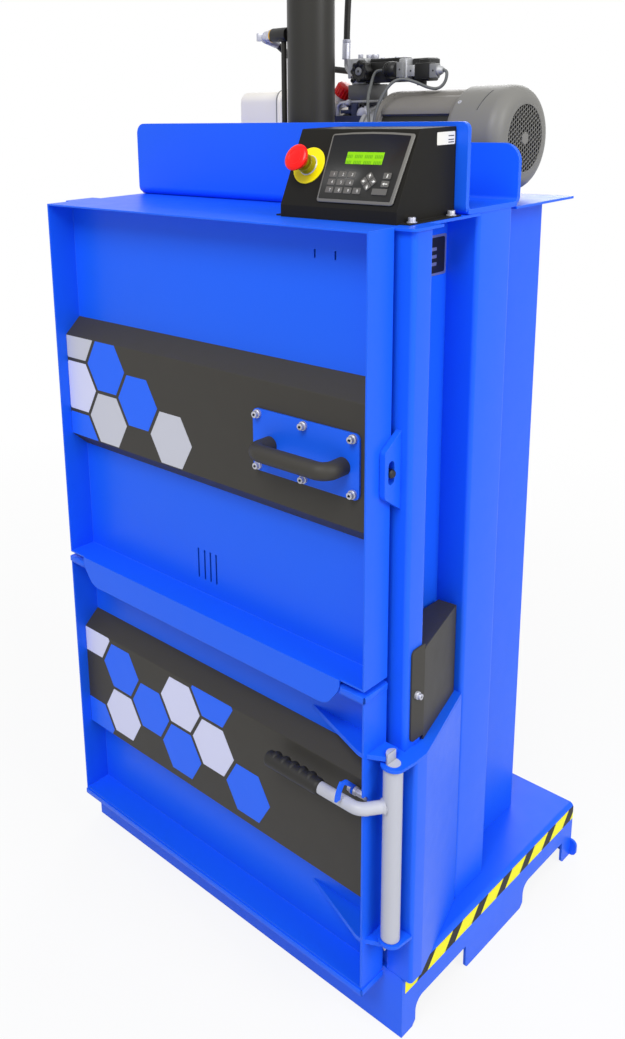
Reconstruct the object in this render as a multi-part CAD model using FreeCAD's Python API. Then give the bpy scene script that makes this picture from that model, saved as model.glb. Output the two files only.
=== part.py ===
import FreeCAD, Part
import math
import os

# A vertical baler for card and film. Millimetres, +Z up.
# The origin lies on the floor, under the middle of the doors' front plane:
# +X is the operator's right and +Y runs towards the back of the machine.

V = FreeCAD.Vector

# ---- driving dimensions -------------------------------------------------

# clearances
SEAT = 0.3                  # gap between pieces that only rest on or beside each other
RUNNING = 0.06              # radial clearance of a pin or rod in its bore

# folded base
BASE_MARGIN = 12.0          # base beyond the corner posts
BASE_FRONT = 63.5
BASE_DEPTH = 616.5
BASE_HEIGHT = 125.0
BASE_SHEET = 5.0
BASE_BEND = 4.0
FORK_START = 105.0          # front edge of the first fork pocket
FORK_WIDTH = 162.0
FORK_REAR_GAP = 41          # behind the second fork pocket
FORK_HEIGHT = 50.0
FORK_CORNER = 22.0
FOOT_CORNER = 9.0
TAB_REACH = 14.0            # tabs that stand out sideways at the rear corners
TAB_RISE = (1.0, 38.0)

# chamber
CHAMBER_WIDTH = 642.0
WALL_SHEET = 4.0
BODY_REAR = 583.0
DOOR_OVER_ROOF = 5.6        # upper door above the body's top
ROOF_SHEET = 4.0
ROOF_MARGIN = 2.5           # roof beyond the columns
EAR_MARGIN = 6.0            # ears beyond the posts
EAR_DEPTH = 71.0
ROOF_CORNER = 10.0

# corner posts and side columns
POST_FRONT = 72.0
POST_WIDTH = 79.0           # from the wall's outer face
POST_DEPTH = 48.0
POST_BEND = 4.0
COLUMN_FRONT = 277.0
COLUMN_WIDTH = 56.0
COLUMN_DEPTH = 103.0
COLUMN_NOTCH = 111.0

# guard and lock plates on the closing side
SKIRT_FRONT = 64.0
SKIRT_GAP = 2.5             # guard beside the door
SKIRT_MARGIN = 24.4         # guard beyond the lever's axis
SKIRT_CORNER = 95.0
SKIRT_SHEET = 4.0
LOCK_PLATE = 5.0
UPPER_LOCK_DROP = 126.0     # underside of the upper lock plate, below the lower door's top
LOWER_LOCK_RISE = 108.6     # underside of the lower lock plate, above the door's bottom

# closing lever
LEVER_OFFSET = 31.1         # lever's axis beyond the door's side
LEVER_Y = 36.6
LEVER_RADIUS = 16.0
TONGUE_RADIUS = 20.5
PIN_RADIUS = 12.0
PIN_FLAT = 2.6              # offset of the half-moon's flat from the axis
HALF_MOON = 19.0            # height of each half-moon
CLAW_SHEET = 8.0
CLAW_RISE = 6.0             # upper claw above its lock plate
CLAW_DROP = 1.0             # lower claw below its lock plate
CLAW_INSET = 6.1            # claws' ends short of the lever's axis
CLAW_CLEARANCE = 0.6
GUSSET_REACH = 148.0
ARM_DROP = 73.0             # arm below the upper lock plate
ARM_Y = -10.0
ARM_BEND_OFFSET = 31.6      # the arm's corner from the lever's axis
ARM_RADIUS = 10.65
ARM_BEND = 26.0
NOTCH_BELOW = 18.6          # notch for the arm in the door's flange
NOTCH_ABOVE = 16.4
ARM_NOTCH_DEPTH = 14.4
GRIP_OFFSET = 110.6         # grip's root from the lever's axis
GRIP_LENGTH = 117.0
GRIP_RADIUS = 14.0
GRIP_RESTS = 5

# catch that holds the lever
CATCH_INSET = 28.5          # catch from the door's flange
CATCH_SHEET = 4.0
CATCH_Y = 14.0
CATCH_RISE = 9.0            # bolt above the arm's axis
CATCH_EYE = 7.7             # radius of the rounded end round the bolt
CATCH_INNER = 36.9
CATCH_OUTER = 48.0
CATCH_TIP = 36.0            # degrees that the nose reaches below the bolt
CATCH_PIN = 4.0
CATCH_LIFT = 40.0           # degrees that the catch stands open at rest

# doors
DOOR_COVER = 55.5           # doors beyond the chamber's walls
DOOR_DEPTH = 60.0
DOOR_SHEET = 3.0
DOOR_BELOW_BASE = 13.6      # lower door below the base's top
LOWER_HEIGHT = 570.6
LIP = 14.6
DOOR_GAP = 8.4
UPPER_HEIGHT = 716.2
PELMET_INSET = 46.5
PELMET_DROP = 52.4
PELMET_CORNER = 27.0
PELMET_GAP = 0.5            # between the pelmet and the lip behind it
BAND_FRONT = 22.0
BAND_SHEET = 2.5
UPPER_BAND_RISE = 223.6     # bands above their doors' bottoms
UPPER_BAND_SLOPES = (30.5, 31.0)
UPPER_BAND_FACE = 204.5
LOWER_BAND_RISE = 142.6
LOWER_BAND_SLOPES = (29.0, 29.0)
LOWER_BAND_FACE = 229.0
VENT_SLOTS = (-50.5, -34.0, -19.0, -4.0)
VENT_WIDTH = 4.0
VENT_RISE = 30.6            # above the upper door's bottom
VENT_HEIGHT = 60.0
TOP_SLOTS = (232.7, 272.8)
TOP_SLOT_DROP = 42.6        # below the upper door's top
TOP_SLOT_HEIGHT = 13.5
TOP_SLOT_WIDTH = 3.4

# hinges
HINGE_OFFSET = 15.5         # pins beyond the doors' side
HINGE_Y = 30.0
HINGE_PIN = 5.0
HINGE_BORE = 5.09           # leaves 0.03 between the flats of pin and bore at any angle
KNUCKLE_RADIUS = 9.0
KNUCKLE_LENGTH = 40.0
KNUCKLE_GAP = 0.4
KNUCKLE_END = 20.0
HINGE_WEB = 6.0
LOWER_HINGE_INSETS = (68.6, 122.0)  # from each door's bottom and top
UPPER_HINGE_INSETS = (109.6, 116.6)

# handle on the upper door
PLATE_WIDTH = 217.0
PLATE_GAP = 23.5            # from the door's flange
PLATE_HEIGHT = 106.0
PLATE_LIFT = 50.5           # above the lower edge of the band's face
PLATE_SHEET = 4.0
PLATE_CORNER = 10.0
SCREW_SIDES = (13.5, 9.5)   # screws in from the plate's left and right edges
SCREW_ENDS = (9.5, 8.0)     # screws in from its lower and upper edges
HANDLE_LENGTH = 137.0
HANDLE_INSET = 39.0         # from the plate's left edge
HANDLE_RISE = 51.0          # above the plate's lower edge
HANDLE_Y = -24.0
HANDLE_RADIUS = 14.0
HANDLE_BEND = 26.0

# latch of the upper door
LATCH_Y = 48.0
LATCH_RISE = 350.6          # above the upper door's bottom
LATCH_RADIUS = 7.2
LATCH_LENGTH = 91.0
LATCH_OVERREACH = 4.0       # bolt beyond its keeper
KEEPER_SHEET = 10.0
KEEPER_GAP = 0.5            # between door and keeper
SLOT_BELOW = 18.0
SLOT_ABOVE = 20.0
GUIDE_LENGTH = 30.0         # guide block behind the band
GUIDE_INSET = 25.5          # from the door's flange

# cover beside the latch
COVER_SHEET = 3.0
COVER_SETBACK = 12.5        # behind the post's front
COVER_LIFT = 10.0           # above the lock plate
COVER_HEIGHT = 165.0
COVER_LID_DROP = 9.0
COVER_BOLT_SETBACK = 13.5
COVER_BOLT_RISE = 83.0

# rating plate
RATING_WIDTH = 73.5
RATING_HEIGHT = 65.0
RATING_GAP = 3.5            # from the column
RATING_DROP = 30.0          # below the body's top
RATING_SHEET = 1.0
RATING_CORNER = 4.0

# cross beam
BEAM_MARGIN = 1.0           # beam beyond the columns
BEAM_FRONT = 236.5
BEAM_DEPTH = 162.5
BEAM_SHEET = 8.5
BEAM_BEND = 8.0
BEAM_FRONT_HEIGHT = 140.5
BEAM_REAR_HEIGHT = 101.0
BEAM_LEFT_CORNER = 20.0
BEAM_RIGHT_CORNER = 12.0
BEAM_REAR_CORNER = 30.0

# press cylinder
PRESS_SETBACK = 91.5        # barrel's axis behind the beam's front
BARREL_RADIUS = 42.5
BORE_RADIUS = 34.0
BARREL_BELOW = 60.0         # under the roof's top face
BARREL_LENGTH = 640.0
CAP_THICKNESS = 22.0
GLAND_HEIGHT = 27.0
ROD_RADIUS = 22.5
PISTON_LENGTH = 34.0
FLANGE_HALF_WIDTH = 66.0
FLANGE_FRONT_GAP = 25.5     # inside the beam's front and rear
FLANGE_REAR_GAP = 17.0
FLANGE_THICKNESS = 20.0
FLANGE_BOLT_INSET = 15.0
PORT_RISE = 42.0            # above the roof

# platen
PLATEN_SIDE_GAP = 9.0       # to the chamber's walls
PLATEN_FRONT_GAP = 6.0
PLATEN_REAR_GAP = 7.0
PLATEN_TOP_GAP = 13.0       # ribs below the gland
PLATEN_SHEET = 8.0
PLATEN_RIB = 52.0
PLATEN_RIB_SHEET = 8.0
HUB_RADIUS = 36.0

# control console
CONSOLE_INSET = 19.0        # from the column's side
CONSOLE_FRONT = 86.0
CONSOLE_LIP = 19.0
SLOPE_DEPTH = 54.6
CONSOLE_HEIGHT = 134.0
CONSOLE_GAP = 1.5           # to the beam
CONSOLE_SHEET = 2.0
CONSOLE_FOOT = 17.0
SCREEN_MARGIN = 7.0         # from the console's right side
SCREEN_SIZE = (148.0, 108.0)
SCREEN_THICKNESS = 3.0
STOP_INSET = 35.8           # from the console's left side
STOP_GAP = 2.2              # from disc to screen
STOP_ALONG = 66.0           # distance up the slope
STOP_DISC = 30.0
STOP_COLLAR = 15.0
STOP_HEAD = 20.0
STOP_STEM = 9.0
STOP_TRAVEL = 5.0

# power pack
PACK_GAP = 11.0             # from beam to tank
PACK_RISE = 103.0           # motor's axis above the roof
TANK_RIGHT = -85.0
TANK_LENGTH = 256.0
TANK_SIDE = 180.0
TANK_CORNER = 20.0
TANK_RIDGE_INSET = 107.0    # seam from the tank's left end
TANK_FOOT = 14.0
FILLER_OFFSET = 24.5        # mouth beyond the tank's right end
FILLER_RISE = 187.0
FILLER_HEADING = (0.6, 0.0, 0.8)
FILLER_RADIUS = 13.0
FILLER_NECK = 56.0
CAP_RADIUS = 19.0
BLOCK_LENGTH = 86.0
BLOCK_SIDE = 84.0
SHIELD_LEFT = 15.0
SHIELD_DEPTH = 30.0
SHIELD_RADIUS = 84.0
MOTOR_LENGTH = 187.0
MOTOR_RADIUS = 79.0
RIB_RADIUS = 85.0
RIB_WIDTH = 22.0
RIB_COUNT = 12
FAN_COVER_OVERLAP = 26.0    # cowl over the motor's end
FAN_COVER_LENGTH = 125.0
FAN_COVER_RADIUS = 90.0
FAN_COVER_WALL = 3.0
FAN_COVER_ROUND = 25.0
GRILLE_RADIUS = 57.0
GRILLE_HUB = 11.0
GRILLE_SPOKES = 8
FAN_RADIUS = 74.0
FAN_BLADES = 8

# valve on its sub-plate
SUBPLATE_SPAN = (-27.0, 67.0)
SUBPLATE_SIDE = 60.0
SUBPLATE_LIFT = 67.0        # above the motor's axis
SUBPLATE_SHEET = 34.0
VALVE_HEIGHT = 45.0
KNOB_RADIUS = 20.0
VALVE_FACE = 108.0          # right face of the valve's centre block
ARM_LENGTH = 16.0           # the casting's narrow end that carries the coil
COIL_LENGTH = 28.0
PLUG_LENGTH = 16.0

# hoses and pipe
HOSE_RADIUS = 6.1
PIPE_X = -52.0
PIPE_Y = 314.0
PIPE_RADIUS = 6.0
PIPE_RISE = 250.0           # above the lower port
LONG_HOSE_X = -50.0
LONG_HOSE_RISE = 81.0       # hose's foot above the sub-plate
HOSE_SETBACKS = (-14.0, 16.0)  # long and short hose from the motor's axis
SHORT_HOSE_RISE = 23.0
HOSE_DROP = (0.0, 0.8, -0.6)  # the way that the short hose leaves its elbow
TOP_PORT_DROP = 50.0        # below the barrel's top

# cables from the valve to their entry in the roof
CABLE_RADIUS = 2.75
CABLE_SIDES = 8
ENTRY_LEFT = 61.0
ENTRY_LENGTH = 37.0
ENTRY_INSETS = (10.5, 11.0) # cables in from the entry's ends
ENTRY_GAP = 1.5             # from beam to entry
ENTRY_SIDE = 12.0
ENTRY_HEIGHT = 7.0
# points from the top front edge of the sub-plate
LEFT_CABLE = [(58.2, -3.0, 22.0), (38.0, -4.0, 22.0), (58.0, -54.0, -37.0), (71.5, -63.5, -79.0)]
LEFT_CABLE_BENDS = [15.0, 40.0, 40.0]
RIGHT_CABLE = [(178.8, 12.0, 20.0), (196.0, 10.5, 20.0), (190.0, -8.0, -14.0), (122.0, -36.0, 9.0),
               (84.0, -62.0, -31.0), (79.0, -63.5, -79.0)]
RIGHT_CABLE_BENDS = [13.0, 13.0, 30.0, 36.0, 40.0]

# sides of the regular prisms that stand for small round pieces
SMALL_SIDES = 12
MIDDLE_SIDES = 20
LARGE_SIDES = 40

# ---- values that follow -------------------------------------------------

WALL_INNER = CHAMBER_WIDTH / 2
WALL_OUTER = WALL_INNER + WALL_SHEET
POST_SIDE = WALL_OUTER + POST_WIDTH
POST_REAR = POST_FRONT + POST_DEPTH
COLUMN_SIDE = WALL_OUTER + COLUMN_WIDTH
COLUMN_REAR = COLUMN_FRONT + COLUMN_DEPTH
BASE_HALF = POST_SIDE + BASE_MARGIN
BASE_REAR = BASE_FRONT + BASE_DEPTH
ROOF_HALF_WIDTH = COLUMN_SIDE + ROOF_MARGIN
EAR_REACH = POST_SIDE + EAR_MARGIN

DOOR_HALF = WALL_INNER + DOOR_COVER
DOOR_INNER = DOOR_HALF - DOOR_SHEET
PANEL_FRONT = DOOR_DEPTH - DOOR_SHEET
LOWER_BOTTOM = BASE_HEIGHT - DOOR_BELOW_BASE
LOWER_TOP = LOWER_BOTTOM + LOWER_HEIGHT
UPPER_BOTTOM = LOWER_TOP + DOOR_GAP
UPPER_TOP = UPPER_BOTTOM + UPPER_HEIGHT
BODY_TOP = UPPER_TOP - DOOR_OVER_ROOF
ROOF_TOP = BODY_TOP + ROOF_SHEET
PELMET_HALF = DOOR_HALF - PELMET_INSET


def band_levels(low, slopes, face):
    """The four heights where a band's sheet bends."""
    return (low, low + slopes[0], low + slopes[0] + face, low + slopes[0] + face + slopes[1])


UPPER_BAND = band_levels(UPPER_BOTTOM + UPPER_BAND_RISE, UPPER_BAND_SLOPES, UPPER_BAND_FACE)
LOWER_BAND = band_levels(LOWER_BOTTOM + LOWER_BAND_RISE, LOWER_BAND_SLOPES, LOWER_BAND_FACE)
VENT_SPAN = (UPPER_BOTTOM + VENT_RISE, UPPER_BOTTOM + VENT_RISE + VENT_HEIGHT)
TOP_SLOT_SPAN = (UPPER_TOP - TOP_SLOT_DROP - TOP_SLOT_HEIGHT, UPPER_TOP - TOP_SLOT_DROP)
HINGE_X = -DOOR_HALF - HINGE_OFFSET
LOWER_HINGES = (LOWER_BOTTOM + LOWER_HINGE_INSETS[0], LOWER_TOP - LOWER_HINGE_INSETS[1])
UPPER_HINGES = (UPPER_BOTTOM + UPPER_HINGE_INSETS[0], UPPER_TOP - UPPER_HINGE_INSETS[1])

PLATE_SPAN = (DOOR_INNER - PLATE_GAP - PLATE_WIDTH, DOOR_INNER - PLATE_GAP)
PLATE_RISE = (UPPER_BAND[1] + PLATE_LIFT, UPPER_BAND[1] + PLATE_LIFT + PLATE_HEIGHT)
SCREW_LEFT = PLATE_SPAN[0] + SCREW_SIDES[0]
SCREW_RIGHT = PLATE_SPAN[1] - SCREW_SIDES[1]
SCREW_COLUMNS = (SCREW_LEFT, (SCREW_LEFT + SCREW_RIGHT) / 2, SCREW_RIGHT)
SCREW_ROWS = (PLATE_RISE[0] + SCREW_ENDS[0], PLATE_RISE[1] - SCREW_ENDS[1])
HANDLE_SPAN = (PLATE_SPAN[0] + HANDLE_INSET, PLATE_SPAN[0] + HANDLE_INSET + HANDLE_LENGTH)
HANDLE_Z = PLATE_RISE[0] + HANDLE_RISE

LATCH_Z = UPPER_BOTTOM + LATCH_RISE
LATCH_PLATE = (DOOR_HALF + KEEPER_GAP, DOOR_HALF + KEEPER_GAP + KEEPER_SHEET)
LATCH_END = LATCH_PLATE[1] + LATCH_OVERREACH
LATCH_SLOT = (LATCH_Z - SLOT_BELOW, LATCH_Z + SLOT_ABOVE)
GUIDE_SPAN = (DOOR_INNER - GUIDE_INSET - GUIDE_LENGTH, DOOR_INNER - GUIDE_INSET)

LEVER_X = DOOR_HALF + LEVER_OFFSET
SKIRT_LEFT = DOOR_HALF + SKIRT_GAP
SKIRT_SIDE = LEVER_X + SKIRT_MARGIN
UPPER_LOCK = LOWER_TOP - UPPER_LOCK_DROP
LOWER_LOCK = LOWER_BOTTOM + LOWER_LOCK_RISE
UPPER_CLAW = UPPER_LOCK + LOCK_PLATE + CLAW_RISE
LOWER_CLAW = LOWER_LOCK - CLAW_DROP - CLAW_SHEET
CLAW_REACH = LEVER_X - CLAW_INSET
LEVER_TOP = UPPER_LOCK - SEAT
LEVER_BOTTOM = LOWER_LOCK + LOCK_PLATE + SEAT
ARM_HEIGHT = UPPER_LOCK - ARM_DROP
ARM_BEND_X = LEVER_X - ARM_BEND_OFFSET
ARM_NOTCH = (ARM_HEIGHT - NOTCH_BELOW, ARM_HEIGHT + NOTCH_ABOVE)
GRIP_ROOT = LEVER_X - GRIP_OFFSET
GRIP_END = GRIP_ROOT - GRIP_LENGTH
CATCH_X = DOOR_INNER - CATCH_INSET
CATCH_Z = ARM_HEIGHT + CATCH_RISE

COVER_FRONT = POST_FRONT + COVER_SETBACK
COVER_BOTTOM = UPPER_LOCK + LOCK_PLATE + COVER_LIFT
COVER_TOP = COVER_BOTTOM + COVER_HEIGHT
COVER_LID = COVER_TOP - COVER_LID_DROP
COVER_BOLT = (COVER_FRONT + COVER_BOLT_SETBACK, COVER_BOTTOM + COVER_BOLT_RISE)

BEAM_HALF_WIDTH = COLUMN_SIDE + BEAM_MARGIN
BEAM_REAR = BEAM_FRONT + BEAM_DEPTH
BEAM_FRONT_TOP = ROOF_TOP + BEAM_FRONT_HEIGHT
BEAM_REAR_TOP = ROOF_TOP + BEAM_REAR_HEIGHT
WEB_TOP = ROOF_TOP + BEAM_SHEET
PRESS_Y = BEAM_FRONT + PRESS_SETBACK
BARREL_BOTTOM = ROOF_TOP - BARREL_BELOW
BARREL_TOP = BARREL_BOTTOM + BARREL_LENGTH
GLAND_BOTTOM = BARREL_BOTTOM - GLAND_HEIGHT
FLANGE_SPAN = (BEAM_FRONT + FLANGE_FRONT_GAP, BEAM_REAR - FLANGE_REAR_GAP)
PORT_Z = ROOF_TOP + PORT_RISE
TOP_PORT_Z = BARREL_TOP - TOP_PORT_DROP
PIPE_TOP = PORT_Z + PIPE_RISE
PLATEN_WIDTH = CHAMBER_WIDTH - 2 * PLATEN_SIDE_GAP
PLATEN_FRONT = POST_FRONT + WALL_SHEET + PLATEN_FRONT_GAP
PLATEN_REAR = BODY_REAR - WALL_SHEET - PLATEN_REAR_GAP
PLATEN_BOTTOM = GLAND_BOTTOM - PLATEN_TOP_GAP - PLATEN_RIB - PLATEN_SHEET

CONSOLE_TOP = ROOF_TOP + CONSOLE_HEIGHT
CONSOLE_SLOPE_Y = CONSOLE_FRONT + SLOPE_DEPTH
CONSOLE_BACK = BEAM_FRONT - CONSOLE_GAP
CONSOLE_WIDTH = STOP_INSET + STOP_DISC + STOP_GAP + SCREEN_SIZE[0] + SCREEN_MARGIN
CONSOLE_SPAN = (COLUMN_SIDE - CONSOLE_INSET - CONSOLE_WIDTH, COLUMN_SIDE - CONSOLE_INSET)
STOP_X = CONSOLE_SPAN[0] + STOP_INSET
SCREEN_CENTRE_X = CONSOLE_SPAN[1] - SCREEN_MARGIN - SCREEN_SIZE[0] / 2

PACK_Y = BEAM_REAR + PACK_GAP + TANK_SIDE / 2
PACK_Z = ROOF_TOP + PACK_RISE
TANK_SPAN = (TANK_RIGHT - TANK_LENGTH, TANK_RIGHT)
TANK_RIDGE = TANK_SPAN[0] + TANK_RIDGE_INSET
FILLER_CENTRE = (TANK_RIGHT + FILLER_OFFSET, PACK_Y, ROOF_TOP + FILLER_RISE)
BLOCK_SPAN = (SHIELD_LEFT - BLOCK_LENGTH, SHIELD_LEFT)
SHIELD_SPAN = (SHIELD_LEFT, SHIELD_LEFT + SHIELD_DEPTH)
MOTOR_END = SHIELD_SPAN[1] + MOTOR_LENGTH
COVER_START = MOTOR_END - FAN_COVER_OVERLAP
FAN_COVER_END = COVER_START + FAN_COVER_LENGTH
SUBPLATE_DEPTH = (PACK_Y - SUBPLATE_SIDE / 2, PACK_Y + SUBPLATE_SIDE / 2)
SUBPLATE_RISE = (PACK_Z + SUBPLATE_LIFT, PACK_Z + SUBPLATE_LIFT + SUBPLATE_SHEET)
VALVE_TOP = SUBPLATE_RISE[1] + VALVE_HEIGHT
VALVE_ARM = (VALVE_FACE, VALVE_FACE + ARM_LENGTH)
COIL_END = VALVE_ARM[1] + COIL_LENGTH
LONG_HOSE = (LONG_HOSE_X, PACK_Y + HOSE_SETBACKS[0], SUBPLATE_RISE[1] + LONG_HOSE_RISE)
SHORT_HOSE_Y = PACK_Y + HOSE_SETBACKS[1]
SHORT_HOSE_Z = SUBPLATE_RISE[1] + SHORT_HOSE_RISE
ENTRY_SPAN = (ENTRY_LEFT, ENTRY_LEFT + ENTRY_LENGTH)
ENTRY_DEPTH = (BEAM_REAR + ENTRY_GAP, BEAM_REAR + ENTRY_GAP + ENTRY_SIDE)


# ---- shape helpers ------------------------------------------------------

def block(x, y, z):
    """A box between two limits on each axis."""
    return Part.makeBox(x[1] - x[0], y[1] - y[0], z[1] - z[0], V(x[0], y[0], z[0]))


def rod(start, direction, radius, length):
    """A round bar from a point along a direction."""
    return Part.makeCylinder(radius, length, V(*start), V(*direction))


def faceted(start, direction, radius, length, sides):
    """A round bar drawn as a regular prism, for pieces too small to need more."""
    heading = V(*direction).normalize()
    return Part.Face(ring(V(*start), heading, radius, sides)).extrude(heading * length)


def ring(centre, normal, radius, sides):
    """A regular polygon square to normal."""
    helper = V(0, 0, 1) if abs(normal.z) < 0.9 else V(1, 0, 0)
    u = normal.cross(helper).normalize()
    v = normal.cross(u)
    points = []
    for i in range(sides + 1):
        angle = 2 * math.pi * i / sides
        points.append(centre + u * (radius * math.cos(angle)) + v * (radius * math.sin(angle)))
    return Part.makePolygon(points)


def turned(start, direction, stations, sides):
    """A turned piece drawn with flat sides: stations are (distance, radius) along its axis."""
    heading = V(*direction).normalize()
    rings = []
    for reach, radius in stations:
        outline = ring(V(*start) + heading * reach, heading, radius, sides)
        rings.append([vertex.Point for vertex in outline.OrderedVertexes])
    faces = [flat_face(rings[0]), flat_face(rings[-1])]
    for near, far in zip(rings, rings[1:]):
        for i in range(sides):
            k = (i + 1) % sides
            faces.append(flat_face([near[i], near[k], far[k], far[i]]))
    solid = Part.Solid(Part.Shell(faces))
    return solid if solid.Volume > 0 else solid.reversed()


def flat_face(points):
    """A flat face through three or more points."""
    return Part.Face(Part.makePolygon(list(points) + [points[0]]))


def place(plane, u, v, level):
    """A point of a flat outline: plane names the axis that it is square to."""
    if plane == "x":
        return V(level, u, v)
    if plane == "y":
        return V(u, level, v)
    return V(u, v, level)


def rounded_edges(points, plane, level, closed=True):
    """Lines through (u, v) or (u, v, radius) points, with tangent arcs at the radii."""
    count = len(points)
    starts = []
    ends = []
    middles = []
    for i, point in enumerate(points):
        corner = V(point[0], point[1], 0)
        radius = point[2] if len(point) > 2 else 0
        if radius <= 0 or (not closed and i in (0, count - 1)):
            starts.append(corner)
            ends.append(corner)
            middles.append(None)
            continue
        before = points[i - 1]
        after = points[(i + 1) % count]
        to_before = (V(before[0], before[1], 0) - corner).normalize()
        to_after = (V(after[0], after[1], 0) - corner).normalize()
        half = math.acos(max(-1.0, min(1.0, to_before.dot(to_after)))) / 2
        reach = radius / math.tan(half)
        bisector = (to_before + to_after).normalize()
        starts.append(corner + to_before * reach)
        ends.append(corner + to_after * reach)
        middles.append(corner + bisector * (radius / math.sin(half) - radius))
    edges = []
    last = count if closed else count - 1
    for i in range(count):
        if middles[i] is not None:
            arc = [place(plane, p.x, p.y, level) for p in (starts[i], middles[i], ends[i])]
            edges.append(Part.Arc(*arc).toShape())
        if i < last:
            first = ends[i]
            second = starts[(i + 1) % count]
            if first.distanceToPoint(second) > 1e-6:
                edges.append(Part.makeLine(place(plane, first.x, first.y, level),
                                           place(plane, second.x, second.y, level)))
    return edges


def prism(plane, points, span):
    """A flat outline extruded between two levels of the axis that it is square to."""
    wire = Part.Wire(Part.__sortEdges__(rounded_edges(points, plane, span[0])))
    return Part.Face(wire).extrude(place(plane, 0, 0, span[1] - span[0]))


def folded(plane, line, sheet, bend, span, side=1):
    """A sheet folded along an open line; side 1 puts its thickness to the left."""
    directions = []
    for first, second in zip(line, line[1:]):
        length = math.hypot(second[0] - first[0], second[1] - first[1])
        directions.append(((second[0] - first[0]) / length, (second[1] - first[1]) / length))
    near = []
    far = []
    for i, point in enumerate(line):
        if i in (0, len(line) - 1):
            along = directions[0] if i == 0 else directions[-1]
            near.append(point)
            far.append((point[0] - side * sheet * along[1], point[1] + side * sheet * along[0]))
            continue
        a, b = directions[i - 1], directions[i]
        turn = a[0] * b[1] - a[1] * b[0]
        scale = side * sheet / (1 + a[0] * b[0] + a[1] * b[1])
        offset = (-(a[1] + b[1]) * scale, (a[0] + b[0]) * scale)
        inner_is_far = turn * side > 0
        near.append((point[0], point[1], bend + sheet if inner_is_far else bend))
        far.append((point[0] + offset[0], point[1] + offset[1], bend if inner_is_far else bend + sheet))
    return prism(plane, near + far[::-1], span)


def slot(plane, centre, width, length, span):
    """An upright obround, as a cutter."""
    u, v = centre
    low, high = v - length / 2, v + length / 2
    corners = [(u - width / 2, low, width / 2 - 0.01), (u + width / 2, low, width / 2 - 0.01),
               (u + width / 2, high, width / 2 - 0.01), (u - width / 2, high, width / 2 - 0.01)]
    return prism(plane, corners, span)


def bends(points, radii, steps):
    """A route with each inner point replaced by the chords of its tangent arc."""
    vectors = [V(*p) for p in points]
    route = [vectors[0]]
    for i in range(1, len(vectors) - 1):
        corner = vectors[i]
        to_before = (vectors[i - 1] - corner).normalize()
        to_after = (vectors[i + 1] - corner).normalize()
        half = math.acos(max(-1.0, min(1.0, to_before.dot(to_after)))) / 2
        radius = radii[i - 1]
        centre = corner + (to_before + to_after).normalize() * (radius / math.sin(half))
        first = corner + to_before * (radius / math.tan(half)) - centre
        last = corner + to_after * (radius / math.tan(half)) - centre
        sweep = math.pi - 2 * half
        for step in range(steps + 1):
            share = step / steps
            route.append(centre + (first * math.sin((1 - share) * sweep) + last * math.sin(share * sweep))
                         * (1 / math.sin(sweep)))
    route.append(vectors[-1])
    return route


def tube_along(points, radii, radius, sides=MIDDLE_SIDES, steps=5):
    """A round bar that follows straight runs, with a bend of chords at each inner point."""
    route = [p for p in bends(points, radii, steps)]
    clean = [route[0]]
    for point in route[1:]:
        if point.distanceToPoint(clean[-1]) > 1e-6:
            clean.append(point)
    heading = (clean[1] - clean[0]).normalize()
    section = ring(clean[0], heading, radius, sides)
    return Part.makePolygon(clean).makePipeShell([section], True, False, 1)


def mirrored(shape):
    """The same piece on the other side of the machine."""
    return shape.mirror(V(0, 0, 0), V(1, 0, 0))


def group(solids):
    """Separate solids that share one node."""
    return Part.makeCompound(solids)


# ---- frame --------------------------------------------------------------

def base_tray():
    """An upturned tray: the top plate, four folded sides and the fork pockets."""
    half = BASE_HALF
    corner = BASE_BEND + BASE_SHEET
    outer = prism("y", [(-half, 0), (half, 0), (half, BASE_HEIGHT, corner), (-half, BASE_HEIGHT, corner)],
                  (BASE_FRONT, BASE_REAR))
    inner_half = half - BASE_SHEET
    inner_top = BASE_HEIGHT - BASE_SHEET
    inner = prism("y", [(-inner_half, -1), (inner_half, -1), (inner_half, inner_top, BASE_BEND),
                        (-inner_half, inner_top, BASE_BEND)],
                  (BASE_FRONT + BASE_SHEET, BASE_REAR - BASE_SHEET))
    tray = outer.cut(inner)
    for start in (FORK_START, BASE_REAR - FORK_REAR_GAP - FORK_WIDTH):
        end = start + FORK_WIDTH
        pocket = [(start - FOOT_CORNER - 1, -1), (start, FOOT_CORNER), (start, FORK_HEIGHT, FORK_CORNER),
                  (end, FORK_HEIGHT), (end, 0, FOOT_CORNER), (end + FOOT_CORNER + 1, 0),
                  (end + FOOT_CORNER + 1, -1)]
        tray = tray.cut(prism("x", pocket, (-half - 1, half + 1)))
    low, high = TAB_RISE
    tab = prism("y", [(half - BASE_SHEET, low), (half + TAB_REACH, low, TAB_REACH - 2),
                      (half + TAB_REACH, high, TAB_REACH - 2), (half - BASE_SHEET, high)],
                (BASE_REAR - BASE_SHEET, BASE_REAR))
    return tray.fuse([tab, mirrored(tab)]).removeSplitter()


def side_wall():
    """One chamber wall, on the right."""
    return block((WALL_INNER, WALL_OUTER), (POST_FRONT + WALL_SHEET, BODY_REAR), (BASE_HEIGHT, BODY_TOP))


def rear_wall():
    return block((-WALL_INNER, WALL_INNER), (BODY_REAR - WALL_SHEET, BODY_REAR), (BASE_HEIGHT, BODY_TOP))


def corner_post():
    """The right corner post, a channel folded round the front of its wall."""
    line = [(WALL_INNER, POST_FRONT), (POST_SIDE, POST_FRONT), (POST_SIDE, POST_REAR), (WALL_OUTER, POST_REAR)]
    return folded("z", line, WALL_SHEET, POST_BEND, (BASE_HEIGHT, BODY_TOP))


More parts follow.
